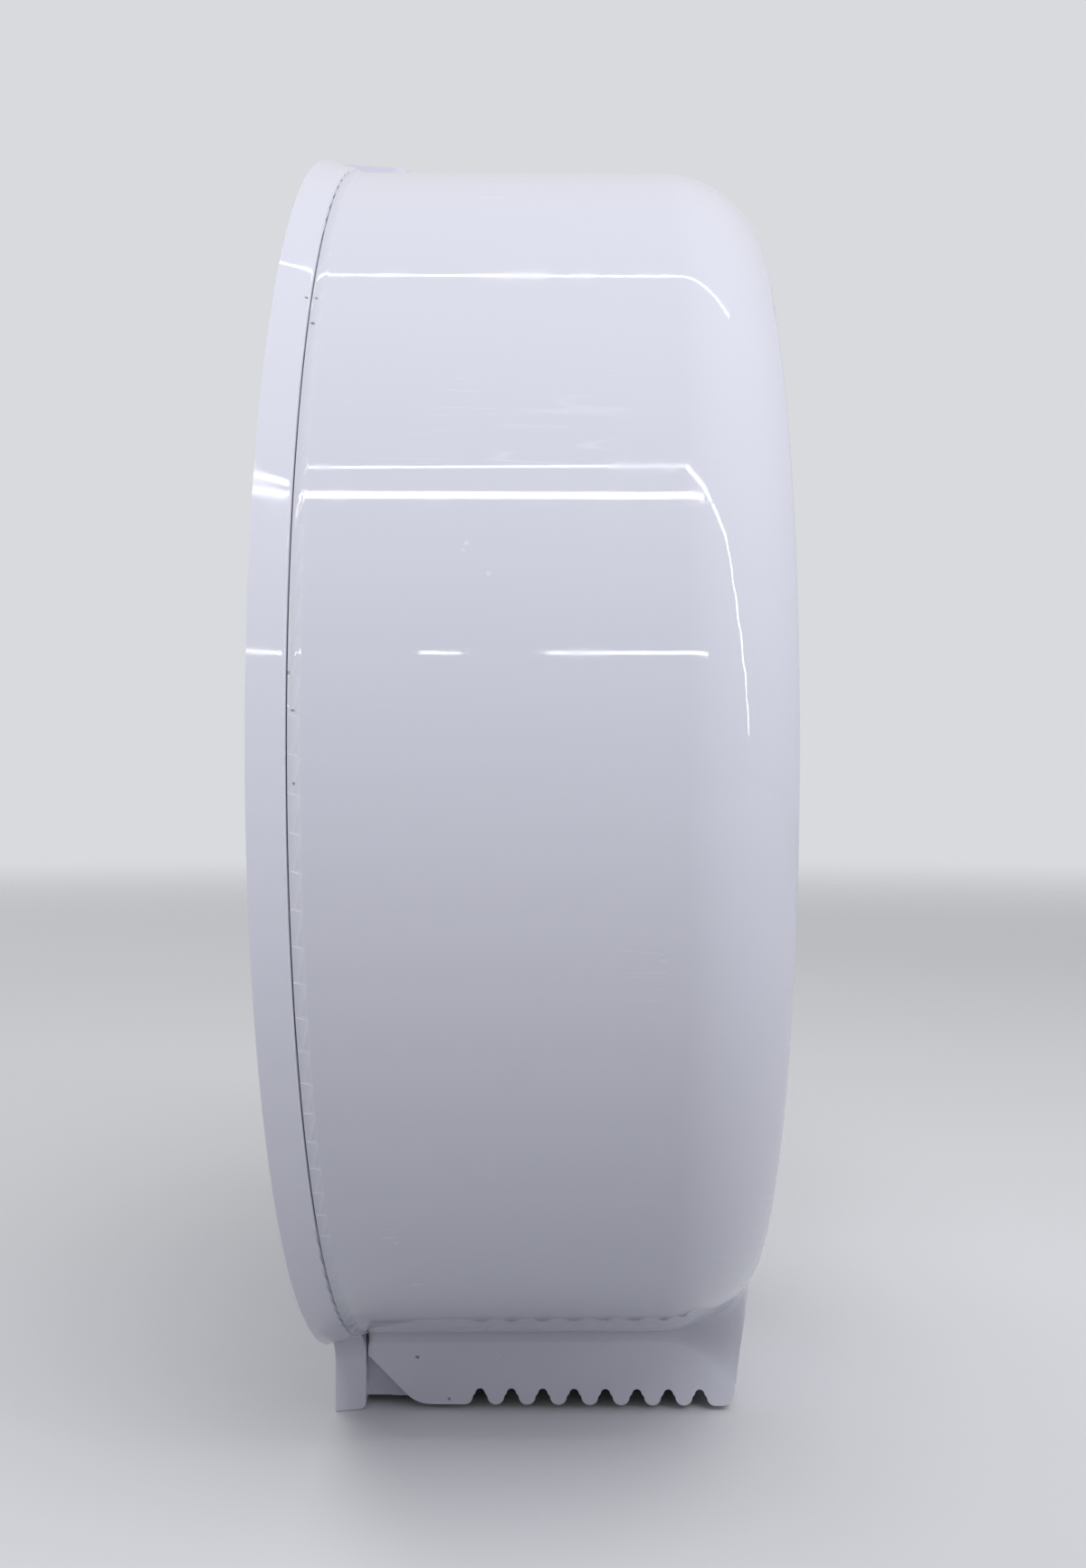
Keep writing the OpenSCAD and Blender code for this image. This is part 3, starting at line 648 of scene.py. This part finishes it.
@dataclass(frozen=True)
class Shell:
    """A copy of a CAD node whose round surfaces are refined and shaded as true surfaces.

    The node's mesh has long facets. Arcs about the turning axis are halved until they are short,
    with every new point on the true surface, and each corner gets the surface's own normal.

    Attributes:
        node: The CAD node.
        name: Name of the piece.
        finish: Its finish.
        body: The body that it moves with.
        axis: Point on the turning axis, in metres.
        along: Direction of that axis, as the index of X, Y or Z.
        arc: Longest arc that is left, in millimetres.
        crease: Angle in degrees past which an edge stays sharp.
        flat: Rise in millimetres past which a long edge is a flat face's, not an arc's.
    """

    node: str
    name: str
    finish: Finish
    body: Body
    axis: Triple = (0.0, 0.0, 0.0)
    along: int = 1
    arc: float = 4.0
    crease: float = 32.0
    flat: float = 0.4

    def sides(self) -> list[int]:
        """The two directions across the axis, as indices of X, Y or Z."""
        return [i for i in range(3) if i != self.along]

    def around(self, point: Vector) -> Triple:
        """Turns a point into radius, angle and place along the axis.

        Args:
            point: The point.

        Returns:
            Radius, angle in radians, and place along the axis.
        """
        across, up = self.sides()
        x, z = point[across] - self.axis[across], point[up] - self.axis[up]
        return math.hypot(x, z), math.atan2(x, z), point[self.along]

    def straight(self, radius: float, angle: float, place: float) -> Vector:
        """Turns radius, angle and place along the axis back into a point.

        Args:
            radius: Distance from the axis.
            angle: Angle in radians.
            place: Place along the axis.

        Returns:
            The point.
        """
        across, up = self.sides()
        point = Vector(self.axis)
        point[across] += radius * math.sin(angle)
        point[up] += radius * math.cos(angle)
        point[self.along] = place
        return point

    def outward(self, angle: float) -> Vector:
        """The direction away from the axis at an angle.

        Args:
            angle: Angle in radians.

        Returns:
            The direction, of length 1.
        """
        across, up = self.sides()
        way = Vector((0.0, 0.0, 0.0))
        way[across], way[up] = math.sin(angle), math.cos(angle)
        return way

    def turn(self, start: float, end: float) -> float:
        """The shorter way from one angle to another, in radians."""
        return (end - start + math.pi) % (2 * math.pi) - math.pi

    def rise(self, radius: float, turn: float) -> float:
        """How far an arc rises over its chord, in millimetres."""
        return radius * (1 - math.cos(turn / 2)) / MM

    def turned(self, face: BMFace) -> bool:
        """Whether a face belongs to a surface of revolution about the axis.

        Args:
            face: The face.

        Returns:
            True for a facet of a cylinder, cone or ring.
        """
        radius, angle, _ = self.around(face.calc_center_median())
        if radius < HUB:
            return False
        turns = [self.turn(angle, self.around(vertex.co)[1]) for vertex in face.verts]
        if self.rise(radius, max(turns) - min(turns)) > self.flat:
            return False
        out = self.outward(angle)
        level = Vector((0.0, 0.0, 0.0))
        level[self.along] = 1.0
        return abs(face.normal.dot(out)) > LEANS and abs(face.normal.dot(out.cross(level))) < ASKEW

    def refine(self, work: BMesh) -> None:
        """Halves long arcs until all are short, with each new point on the true surface.

        Args:
            work: The merged copy of the node's mesh.
        """
        for _ in range(HALVINGS):
            work.normal_update()
            turned = {face: self.turned(face) for face in work.faces}
            long_arcs = []
            for edge in work.edges:
                if not any(turned[face] for face in edge.link_faces):
                    continue
                r0, a0, p0 = self.around(edge.verts[0].co)
                r1, a1, p1 = self.around(edge.verts[1].co)
                turn = self.turn(a0, a1)
                longest = max(r0, r1)
                if abs(turn) * longest < self.arc * MM or self.rise(longest, turn) > self.flat:
                    continue
                level = abs(r0 - r1) < LEVEL and abs(p0 - p1) < LEVEL
                if level or all(turned[face] for face in edge.link_faces):
                    middle = self.straight((r0 + r1) / 2, a0 + turn / 2, (p0 + p1) / 2)
                    long_arcs.append((edge, middle))
            if not long_arcs:
                return
            for edge, middle in long_arcs:
                _, made = bmesh.utils.edge_split(edge, edge.verts[0], 0.5)
                made.co = middle
            many = [face for face in work.faces if len(face.verts) > 3]
            bmesh.ops.triangulate(work, faces=many)

    def patches(self, work: BMesh) -> list[float]:
        """Area of the flat patch that each face belongs to.

        Args:
            work: The refined mesh, with its face numbers up to date.

        Returns:
            Area by face number.
        """
        patch = [-1] * len(work.faces)
        areas: list[float] = []
        for first in work.faces:
            if patch[first.index] >= 0:
                continue
            number, area, queue = len(areas), 0.0, [first]
            patch[first.index] = number
            while queue:
                face = queue.pop()
                area += face.calc_area()
                for edge in face.edges:
                    for other in edge.link_faces:
                        if patch[other.index] < 0 and edge.calc_face_angle(1.0) < ONE_PLANE:
                            patch[other.index] = number
                            queue.append(other)
            areas.append(area)
        return [areas[number] for number in patch]

    def slope(self, face: BMFace) -> tuple[float, float]:
        """Radial and level parts of a face's normal, read from the profile that it was turned from.

        Args:
            face: The face.

        Returns:
            The two parts.
        """
        _, angle, _ = self.around(face.calc_center_median())
        radial, level = face.normal.dot(self.outward(angle)), face.normal[self.along]
        rings = [self.around(vertex.co) for vertex in face.verts]
        steps = [(b[0] - a[0], b[2] - a[2]) for a in rings for b in rings]
        widest = max(steps, key=lambda step: math.hypot(*step))
        length = math.hypot(*widest)
        if length < SHORT:
            return radial, level
        found = (widest[1] / length, -widest[0] / length)
        sign = 1.0 if found[0] * radial + found[1] * level > 0 else -1.0
        return found[0] * sign, found[1] * sign

    def normals(self, work: BMesh) -> list[Vector]:
        """The surface's own normal at each corner of each face.

        Args:
            work: The refined mesh.

        Returns:
            Normals in the order of the mesh's corners.
        """
        work.normal_update()
        work.faces.ensure_lookup_table()
        work.faces.index_update()
        limit = math.cos(math.radians(self.crease))
        weight = self.patches(work)
        turned = [self.turned(face) for face in work.faces]
        slope = [self.slope(face) for face in work.faces]
        result = []
        for face in work.faces:
            for corner in face.loops:
                vertex = corner.vert
                near = [
                    other
                    for other in vertex.link_faces
                    if face.normal.dot(other.normal) > limit
                    and turned[other.index] == turned[face.index]
                ]
                if turned[face.index]:
                    radial = sum(slope[other.index][0] * weight[other.index] for other in near)
                    level = sum(slope[other.index][1] * weight[other.index] for other in near)
                    _, angle, _ = self.around(vertex.co)
                    normal = self.outward(angle) * radial
                    normal[self.along] = level
                else:
                    normal = Vector((0.0, 0.0, 0.0))
                    for other in near:
                        normal += other.normal * weight[other.index]
                result.append(normal.normalized())
        return result

    def build(self) -> Object:
        """Makes the piece and puts it on its body.

        Returns:
            The piece.
        """
        work = bmesh.new()
        work.from_mesh(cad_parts[self.node].data)
        bmesh.ops.remove_doubles(work, verts=work.verts, dist=WELD)
        bmesh.ops.dissolve_degenerate(work, edges=work.edges, dist=WELD)
        bmesh.ops.triangulate(work, faces=work.faces)
        self.refine(work)
        normals = self.normals(work)
        for face in work.faces:
            face.smooth = True
        mesh = bpy.data.meshes.new(self.name)
        work.to_mesh(mesh)
        work.free()
        mesh.normals_split_custom_set(normals)
        mesh.materials.clear()
        mesh.materials.append(self.finish.material())
        piece = add_object(self.name, mesh)
        LOG.info("%s has %d faces", self.name, len(mesh.polygons))
        return seat(piece, self.body, [self.node])


# ---- screws, by Geometry Nodes ----


@dataclass(frozen=True)
class PanScrews:
    """A set of alike pan head screws with a cross recess and a rolled thread.

    Attributes:
        name: Name of the piece.
        node: CAD node that the set stands for.
        body: Body that it moves with.
        places: Where the underside of each head lies, in metres.
        turn: Rotation from pointing along +Z, in radians.
        head_r: Radius of the head in millimetres.
        head_h: Height of the head.
        shank_r: Outer radius of the thread.
        length: Length of the shank.
        pitch: Pitch of the thread.
    """

    name: str
    node: str
    body: Body
    places: tuple[Triple, ...]
    turn: Triple
    head_r: float
    head_h: float
    shank_r: float
    length: float
    pitch: float = 1.1

    def sizes(self) -> dict[str, float]:
        """The tree's named sizes, in metres.

        Returns:
            Value by input name.
        """
        return {
            "Head radius": self.head_r * MM,
            "Head height": self.head_h * MM,
            "Shank radius": self.shank_r * MM,
            "Shank length": self.length * MM,
            "Thread pitch": self.pitch * MM,
        }

    def tree(self) -> NodeTree:
        """Makes the node tree that turns each vertex of a mesh into a screw.

        Returns:
            The tree.
        """
        made = bpy.data.node_groups.new("pan_screws", "GeometryNodeTree")
        face = made.interface
        face.new_socket("Geometry", in_out="INPUT", socket_type="NodeSocketGeometry")
        for name, value in self.sizes().items():
            face.new_socket(name, in_out="INPUT", socket_type="NodeSocketFloat").default_value = value
        face.new_socket("Turn", in_out="INPUT", socket_type="NodeSocketVector")
        face.new_socket("Finish", in_out="INPUT", socket_type="NodeSocketMaterial")
        face.new_socket("Geometry", in_out="OUTPUT", socket_type="NodeSocketGeometry")
        given = made.nodes.new("NodeGroupInput").outputs
        nodes = Nodes(made)
        screw = self.screw(nodes, given)
        placed = nodes.add(
            "GeometryNodeInstanceOnPoints",
            inputs={"Points": given["Geometry"], "Instance": screw, "Rotation": given["Turn"]},
        )
        real = nodes.add("GeometryNodeRealizeInstances", inputs={0: placed.outputs[0]})
        painted = nodes.add(
            "GeometryNodeSetMaterial",
            inputs={"Geometry": real.outputs[0], "Material": given["Finish"]},
        )
        nodes.add("NodeGroupOutput", inputs={0: painted.outputs[0]})
        return made

    def screw(self, nodes: Nodes, given: Any) -> NodeSocket:
        """Makes one screw along +Z: head below 0, shank above it.

        Args:
            nodes: The node tree.
            given: Outputs of the group's input node.

        Returns:
            The screw's geometry socket.
        """
        head_r, head_h = given["Head radius"], given["Head height"]
        shank_r, length = given["Shank radius"], given["Shank length"]
        sized = {}
        for name, operation, whole, share in (
            ("head middle", "MULTIPLY", head_h, -0.5),
            ("dome radius", "MULTIPLY", head_r, 1.25),
            ("bar length", "MULTIPLY", head_r, 1.1),
            ("bar width", "MULTIPLY", head_r, 0.22),
            ("bar middle", "MULTIPLY", head_h, -0.98),
            ("core radius", "MULTIPLY", shank_r, 0.78),
            ("core middle", "MULTIPLY", length, 0.5),
            ("thread radius", "MULTIPLY", shank_r, 0.86),
            ("tooth", "MULTIPLY", shank_r, 0.14),
            ("thread length", "MULTIPLY", length, 0.96),
            ("turns", "DIVIDE", length, given["Thread pitch"]),
        ):
            sized[name] = nodes.add(
                "ShaderNodeMath", {"operation": operation}, {0: whole, 1: share}
            ).outputs[0]
        sized["dome middle"] = nodes.add(
            "ShaderNodeMath", {"operation": "SUBTRACT"}, {0: sized["dome radius"], 1: head_h}
        ).outputs[0]
        puck = nodes.add(
            "GeometryNodeMeshCylinder", inputs={"Vertices": 48, "Radius": head_r, "Depth": head_h}
        )
        dome = nodes.add(
            "GeometryNodeMeshUVSphere",
            inputs={"Segments": 48, "Rings": 48, "Radius": sized["dome radius"]},
        )
        core = nodes.add(
            "GeometryNodeMeshCylinder",
            inputs={"Vertices": 32, "Radius": sized["core radius"], "Depth": length},
        )
        shapes = [(puck, "head middle"), (dome, "dome middle"), (core, "core middle")]
        bar_sides = (sized["bar length"], sized["bar width"])
        for x, y in (bar_sides, bar_sides[::-1]):
            size = nodes.add("ShaderNodeCombineXYZ", inputs={"X": x, "Y": y, "Z": head_h})
            bar = nodes.add("GeometryNodeMeshCube", inputs={"Size": size.outputs[0]})
            shapes.append((bar, "bar middle"))
        placed = []
        for shape, middle in shapes:
            place = nodes.add("ShaderNodeCombineXYZ", inputs={"Z": sized[middle]})
            moved = nodes.add(
                "GeometryNodeTransform",
                inputs={"Geometry": shape.outputs[0], "Translation": place.outputs[0]},
            )
            placed.append(moved.outputs[0])
        head = nodes.add("GeometryNodeMeshBoolean", {"operation": "INTERSECT"})
        for solid in placed[:2]:
            nodes.link(solid, head.inputs[1])
        recess = nodes.add(
            "GeometryNodeMeshBoolean", {"operation": "DIFFERENCE"}, {0: head.outputs[0]}
        )
        for bar in placed[3:]:
            nodes.link(bar, recess.inputs[1])
        spiral = nodes.add(
            "GeometryNodeCurveSpiral",
            inputs={
                "Resolution": 24,
                "Rotations": sized["turns"],
                "Start Radius": sized["thread radius"],
                "End Radius": sized["thread radius"],
                "Height": sized["thread length"],
            },
        )
        tooth = nodes.add(
            "GeometryNodeCurvePrimitiveCircle", inputs={"Resolution": 4, "Radius": sized["tooth"]}
        )
        thread = nodes.add(
            "GeometryNodeCurveToMesh",
            inputs={"Curve": spiral.outputs[0], "Profile Curve": tooth.outputs[0], "Fill Caps": True},
        )
        joined = nodes.add("GeometryNodeJoinGeometry")
        for shape in (recess.outputs[0], placed[2], thread.outputs[0]):
            nodes.link(shape, joined.inputs[0])
        return joined.outputs[0]

    def build(self) -> Object:
        """Makes the set of screws as one plain mesh on its body.

        Returns:
            The piece.
        """
        mesh = bpy.data.meshes.new(self.name + "_places")
        mesh.from_pydata([Vector(p) for p in self.places], [], [])
        holder = add_object(self.name + "_places", mesh)
        modifier = holder.modifiers.new("screws", "NODES")
        tree = self.tree()
        modifier.node_group = tree
        wanted: dict[str, Any] = {**self.sizes(), "Turn": self.turn, "Finish": ZINC_PLATE.material()}
        for item in tree.interface.items_tree:
            if item.item_type == "SOCKET" and item.in_out == "INPUT" and item.name in wanted:
                modifier[item.identifier] = wanted[item.name]
        piece = as_mesh(holder, self.name, ZINC_PLATE)
        piece.data.set_sharp_from_angle(angle=math.radians(30))
        return seat(piece, self.body, [self.node])


# ---- sub-assemblies ----


@dataclass(frozen=True)
class BackPlate:
    """The plate on the wall with its rim, block, ears and tab, and the two hinge pins."""

    def build(self) -> None:
        """Makes the plate's shell and dresses the pins."""
        Shell("back_plate", "plate_shell", WHITE_PLATE, Body.FRAME).build()
        for name in ("hinge_pin_left", "hinge_pin_right"):
            dress_node(name, ZINC_PLATE)


@dataclass(frozen=True)
class FrontCover:
    """The drum cover with its chute, its level window and the lock's keeper.

    Attributes:
        window_up: Middle of the window above the drum's axis.
        screw_x: Window screws to either side of the middle.
        screw_up: Window screws above and below the window's middle.
        frame_out: Where the window screws' heads seat, out of the wall.
        keeper_up: Where the keeper screws' heads seat, above the axis.
        keeper_out: Keeper screws out of the wall.
        keeper_x: Keeper screws to either side of the middle.
    """

    window_up: float = 84.0
    screw_x: float = 20.9
    screw_up: float = 26.0
    frame_out: float = 109.9
    keeper_up: float = 157.4
    keeper_out: float = 28.4
    keeper_x: float = 8.0

    def build(self) -> None:
        """Makes the cover's shell, its window and its screws."""
        Shell("front_cover", "cover_shell", WHITE_COVER, Body.COVER).build()
        Shell("window_frame", "window_clamp", WHITE_PLATE, Body.COVER).build()
        Shell("level_window", "window_lens", SMOKED, Body.COVER).build()
        Shell("cover_keeper", "keeper_bracket", ZINC_PLATE, Body.COVER).build()
        self.window_screws().build()
        self.keeper_screws().build()

    def window_screws(self) -> PanScrews:
        """The screws that hold the window's clamp, driven towards the front."""
        places = tuple(
            (sx * self.screw_x * MM, -self.frame_out * MM, (self.window_up + sy * self.screw_up) * MM)
            for sx in (-1, 1)
            for sy in (-1, 1)
        )
        ahead = (math.pi / 2, 0, 0)
        return PanScrews(
            "window_clamp_screws", "window_screws", Body.COVER, places, ahead, 3.0, 1.8, 1.5, 5.0
        )

    def keeper_screws(self) -> PanScrews:
        """The screws that hold the keeper, driven upwards."""
        places = tuple(
            (s * self.keeper_x * MM, -self.keeper_out * MM, self.keeper_up * MM) for s in (-1, 1)
        )
        return PanScrews(
            "keeper_bracket_screws", "keeper_screws", Body.COVER, places, (0, 0, 0), 3.0, 1.8, 1.5, 6.8
        )


@dataclass(frozen=True)
class RollSpindle:
    """The post on the plate and the hub that turns on it.

    Attributes:
        screw_at: Radius of the bracket screws' circle in millimetres.
        head_seat: Where their heads seat, out of the wall.
        end_seat: Where the hub screw's head seats.
    """

    screw_at: float = 27.0
    head_seat: float = 9.8
    end_seat: float = 89.4

    def build(self) -> None:
        """Makes the bracket, hub and cap, and dresses the small pieces."""
        Shell("spindle_bracket", "spindle_post", GREY_ABS, Body.FRAME, arc=1.5).build()
        Shell("roll_hub", "hub_shell", GREY_ABS, Body.HUB, arc=1.5).build()
        Shell("hub_cap", "hub_dome", WHITE_PLATE, Body.HUB, arc=1.5).build()
        dress_node("end_washer", ZINC_PLATE)
        for name in ("rear_bush", "front_bush"):
            dress_node(name, ACETAL)
        dress_node("thrust_washer", NYLON)
        places = tuple(
            (
                self.screw_at * MM * math.cos(math.radians(45 + 90 * i)),
                -self.head_seat * MM,
                self.screw_at * MM * math.sin(math.radians(45 + 90 * i)),
            )
            for i in range(4)
        )
        inwards = (-math.pi / 2, 0, 0)
        PanScrews(
            "bracket_pan_screws", "bracket_screws", Body.FRAME, places, inwards, 3.2, 2.0, 1.5, 7.5
        ).build()
        end = ((0.0, -self.end_seat * MM, 0.0),)
        PanScrews(
            "hub_pan_screw", "hub_screw", Body.FRAME, end, inwards, 5.0, 3.0, 2.5, 19.2, 1.6
        ).build()


@dataclass(frozen=True)
class CamLock:
    """The cylinder lock in the tab, with its clip, barrel and hooked cam.

    Attributes:
        out: The lock's axis out of the wall, in millimetres.
        cam_foot: Underside of the cam above the drum's axis.
    """

    out: float = 12.0
    cam_foot: float = 149.2

    def build(self) -> None:
        """Makes the lock's turned parts and dresses the rest."""
        axis = (0.0, -self.out * MM, 0.0)
        Shell("lock_body", "lock_sleeve", CHROME, Body.FRAME, axis, 2, 0.6).build()
        Shell("lock_barrel", "lock_rotor", CHROME, Body.LOCK, axis, 2, 0.6).build()
        Shell("lock_cam", "lock_hook", ZINC_PLATE, Body.LOCK, axis, 2, 0.6).build()
        dress_node("lock_clip", ZINC_PLATE)
        foot = ((0.0, -self.out * MM, self.cam_foot * MM),)
        PanScrews(
            "cam_pan_screw", "cam_screw", Body.LOCK, foot, (0, 0, 0), 3.4, 1.6, 1.2, 7.0, 0.9
        ).build()


# ---- studio ----


@dataclass(frozen=True)
class Drum:
    """The cover's outside as the lamps need it, in metres.

    Attributes:
        radius: Radius of the straight part.
        nose_from: Distance out of the wall where the front rounding starts.
        nose_r: Radius of that rounding.
    """

    radius: float = 0.1684
    nose_from: float = 0.0908
    nose_r: float = 0.030

    def spot(self, height: float, out: float) -> tuple[Vector, Vector]:
        """A point on the outside and the way that the surface faces there.

        Args:
            height: Degrees above the horizon, on the side of -X.
            out: Distance out of the wall.

        Returns:
            The point and the outward direction.
        """
        past = max(0.0, out - self.nose_from)
        front = math.asin(past / self.nose_r)
        radius = self.radius - self.nose_r * (1 - math.cos(front))
        angle = math.radians(height)
        level, up = math.cos(angle), math.sin(angle)
        facing = Vector((-level * math.cos(front), -math.sin(front), up * math.cos(front)))
        return Vector((-radius * level, -out, radius * up)), facing


@dataclass(frozen=True)
class Tube:
    """A chain of thin tube lamps that draws a bright line on the glossy cover.

    Attributes:
        name: Name of the lamps.
        width: Width of the tube in metres.
        seen_at: Points of the cover that show the line: degrees above the horizon and millimetres
            out of the wall.
        glow: Its radiance.
    """

    name: str
    width: float
    seen_at: tuple[tuple[float, float], ...]
    glow: float = 12.0

    def path(self, eye: Vector, drum: Drum, distance: float) -> list[Vector]:
        """Finds the tube's corners by the law of reflection.

        Args:
            eye: The camera's place.
            drum: The cover's outside.
            distance: How far from the cover the tube hangs.

        Returns:
            The corners.
        """
        corners = []
        for height, out in self.seen_at:
            point, facing = drum.spot(height, out * MM)
            to_eye = (eye - point).normalized()
            corners.append(point + distance * (2 * facing.dot(to_eye) * facing - to_eye))
        return corners


@dataclass(frozen=True)
class SoftLamp:
    """A large soft lamp that the gloss doesn't mirror.

    Attributes:
        name: Name of the lamp.
        place: Where it hangs, in metres.
        size: Its width and length in metres.
        watts: Its power.
    """

    name: str
    place: Triple
    size: tuple[float, float]
    watts: float


@dataclass(frozen=True)
class Studio:
    """Floor, world, lamps and the camera at the photographed angle.

    Attributes:
        lens: Focal length in millimetres on a 36 mm long side.
        camera_at: The camera's place in metres.
        yaw: Degrees that the camera is turned from +X towards +Y.
        floor_z: Height of the floor.
        floor_r: Its radius.
        pale: Colour of the background.
        ambient: Strength of the world's light on the object.
        drum: The cover's outside, for the tubes' places.
        distance: How far from the cover the tubes hang.
        soft: The soft lamps.
        tubes: The tube lamps.
    """

    lens: float = 38.0
    camera_at: Triple = (-0.5096, -0.0664, -0.0087)
    yaw: float = 0.908
    floor_z: float = -0.1872
    floor_r: float = 4.0
    pale: str = "#d9dade"
    ambient: float = 0.25
    drum: Drum = Drum()
    distance: float = 2.5
    soft: tuple[SoftLamp, ...] = (
        SoftLamp("key", (-1.2, -0.35, 1.8), (1.8, 1.8), 30.4),
        SoftLamp("front", (-0.7, -2.1, 0.25), (1.2, 1.2), 10.0),
        SoftLamp("back", (1.2, 0.9, 1.6), (1.4, 1.4), 10.0),
    )
    tubes: tuple[Tube, ...] = (
        Tube("tube_overhead", 0.022, ((40.0, 9.4), (40.0, 90.6), (35.9, 102.6))),
        Tube("tube_thin", 0.018, ((20.3, 8.6), (20.5, 91.6))),
        Tube("tube_side", 0.045, ((20.5, 91.6), (14.8, 99.6), (4.1, 103.0), (0.5, 103.7)), 14.0),
        Tube("tube_thick", 0.062, ((18.1, 8.3), (18.1, 90.8), (17.9, 94.9))),
        Tube("tube_low_rear", 0.028, ((6.3, 41.3), (6.3, 49.8))),
        Tube("tube_low_front", 0.028, ((6.3, 67.5), (6.3, 90.8), (6.2, 95.2))),
    )

    def build(self) -> None:
        """Builds the whole studio."""
        self.colour_management()
        self.world()
        self.floor()
        self.lamps()
        self.camera()

    def colour_management(self) -> None:
        """Sets the plain view transform."""
        bpy.context.scene.view_settings.view_transform = "Standard"

    def seen(self, nodes: Nodes) -> NodeSocket:
        """Whether a ray comes from the camera, straight or by way of gloss or clear plastic.

        Args:
            nodes: Node tree of the material or the world.

        Returns:
            The socket that is 1 for such a ray.
        """
        path = nodes.add("ShaderNodeLightPath").outputs
        found = path["Is Camera Ray"]
        for kind in ("Is Glossy Ray", "Is Transmission Ray"):
            found = nodes.add(
                "ShaderNodeMath", {"operation": "MAXIMUM"}, {0: found, 1: path[kind]}
            ).outputs[0]
        return found

    def world(self) -> None:
        """Lights the object evenly, and shows a pale ground to the camera and in reflections."""
        world = bpy.data.worlds.new("studio")
        bpy.context.scene.world = world
        world.use_nodes = True
        nodes = Nodes(world.node_tree)
        nodes.tree.nodes.clear()
        light = nodes.add(
            "ShaderNodeBackground", inputs={"Color": (1, 1, 1, 1), "Strength": self.ambient}
        )
        ground = nodes.add(
            "ShaderNodeBackground", inputs={"Color": linear(self.pale), "Strength": 1.0}
        )
        mixed = nodes.add(
            "ShaderNodeMixShader",
            inputs={0: self.seen(nodes), 1: light.outputs[0], 2: ground.outputs[0]},
        )
        nodes.add("ShaderNodeOutputWorld", inputs={"Surface": mixed.outputs[0]})

    def floor(self) -> None:
        """Lays a round pale floor that fades into the background."""
        mesh = bpy.data.meshes.new("floor")
        work = bmesh.new()
        bmesh.ops.create_circle(work, cap_ends=True, segments=96, radius=self.floor_r)
        work.to_mesh(mesh)
        work.free()
        for vertex in mesh.vertices:
            vertex.co.z = self.floor_z
        floor = add_object("floor", mesh)
        made = new_material("floor_paper_pale")
        nodes = Nodes(made.node_tree)
        where = nodes.add("ShaderNodeTexCoord").outputs["Object"]
        far = nodes.add("ShaderNodeVectorMath", {"operation": "LENGTH"}, {0: where})
        fade = nodes.add(
            "ShaderNodeMapRange",
            {"interpolation_type": "SMOOTHSTEP"},
            {"Value": far.outputs["Value"], "From Min": 0.7, "From Max": 3.6},
        )
        # The ground is seen as pale paper, and throws less light back up than it shows.
        shade = nodes.add(
            "ShaderNodeMix",
            {"data_type": "RGBA"},
            {0: self.seen(nodes), 6: linear("#a8a9ac"), 7: linear("#dedfe3")},
        )
        paper = nodes.add(
            "ShaderNodeBsdfPrincipled", inputs={"Base Color": shade.outputs[2], "Roughness": 0.85}
        )
        clear = nodes.add("ShaderNodeBsdfTransparent")
        mixed = nodes.add(
            "ShaderNodeMixShader",
            inputs={0: fade.outputs[0], 1: paper.outputs[0], 2: clear.outputs[0]},
        )
        nodes.add("ShaderNodeOutputMaterial", inputs={"Surface": mixed.outputs[0]})
        mesh.materials.append(made)

    def lamp(self, name: str, ends: tuple[Vector, Vector], width: float, watts: float) -> Object:
        """Hangs an area lamp between two points, turned towards the origin.

        Args:
            name: Name of the lamp.
            ends: The two ends of its middle line.
            width: Its width across that line.
            watts: Its power.

        Returns:
            The lamp.
        """
        data = bpy.data.lights.new(name, "AREA")
        data.shape = "RECTANGLE"
        data.size, data.size_y = width, (ends[1] - ends[0]).length
        data.energy = watts
        lamp = add_object(name, data)
        lamp.location = (ends[0] + ends[1]) / 2
        along = (ends[1] - ends[0]).normalized()
        back = (lamp.location - along * lamp.location.dot(along)).normalized()
        lamp.rotation_mode = "QUATERNION"
        lamp.rotation_quaternion = Matrix((along.cross(back), along, back)).transposed().to_quaternion()
        return lamp

    def lamps(self) -> None:
        """Hangs the soft lamps and the tubes."""
        for soft in self.soft:
            middle = Vector(soft.place)
            half = middle.cross(Vector((0, 0, 1))).normalized() * soft.size[1] / 2
            lamp = self.lamp(soft.name, (middle - half, middle + half), soft.size[0], soft.watts)
            lamp.visible_glossy = False
        for tube in self.tubes:
            corners = tube.path(Vector(self.camera_at), self.drum, self.distance)
            for start, end in zip(corners, corners[1:]):
                watts = tube.glow * math.pi * tube.width * (end - start).length
                self.lamp(tube.name, (start, end), tube.width, watts)

    def camera(self) -> None:
        """Sets the camera at the photographed angle."""
        data = bpy.data.cameras.new("camera")
        data.lens = self.lens
        data.sensor_width = 36.0
        camera = add_object("camera", data)
        camera.location = self.camera_at
        angle = math.radians(self.yaw)
        ahead = Vector((math.cos(angle), math.sin(angle), 0))
        camera.rotation_mode = "QUATERNION"
        camera.rotation_quaternion = ahead.to_track_quat("-Z", "Y")
        bpy.context.scene.camera = camera


def main() -> None:
    """Builds every piece and the studio."""
    logging.basicConfig(level=logging.INFO, format="%(name)s: %(message)s")
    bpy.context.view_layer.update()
    for part in (BackPlate(), FrontCover(), RollSpindle(), CamLock(), Studio()):
        LOG.info("building %s", type(part).__name__)
        part.build()


if __name__ == "__main__":
    main()
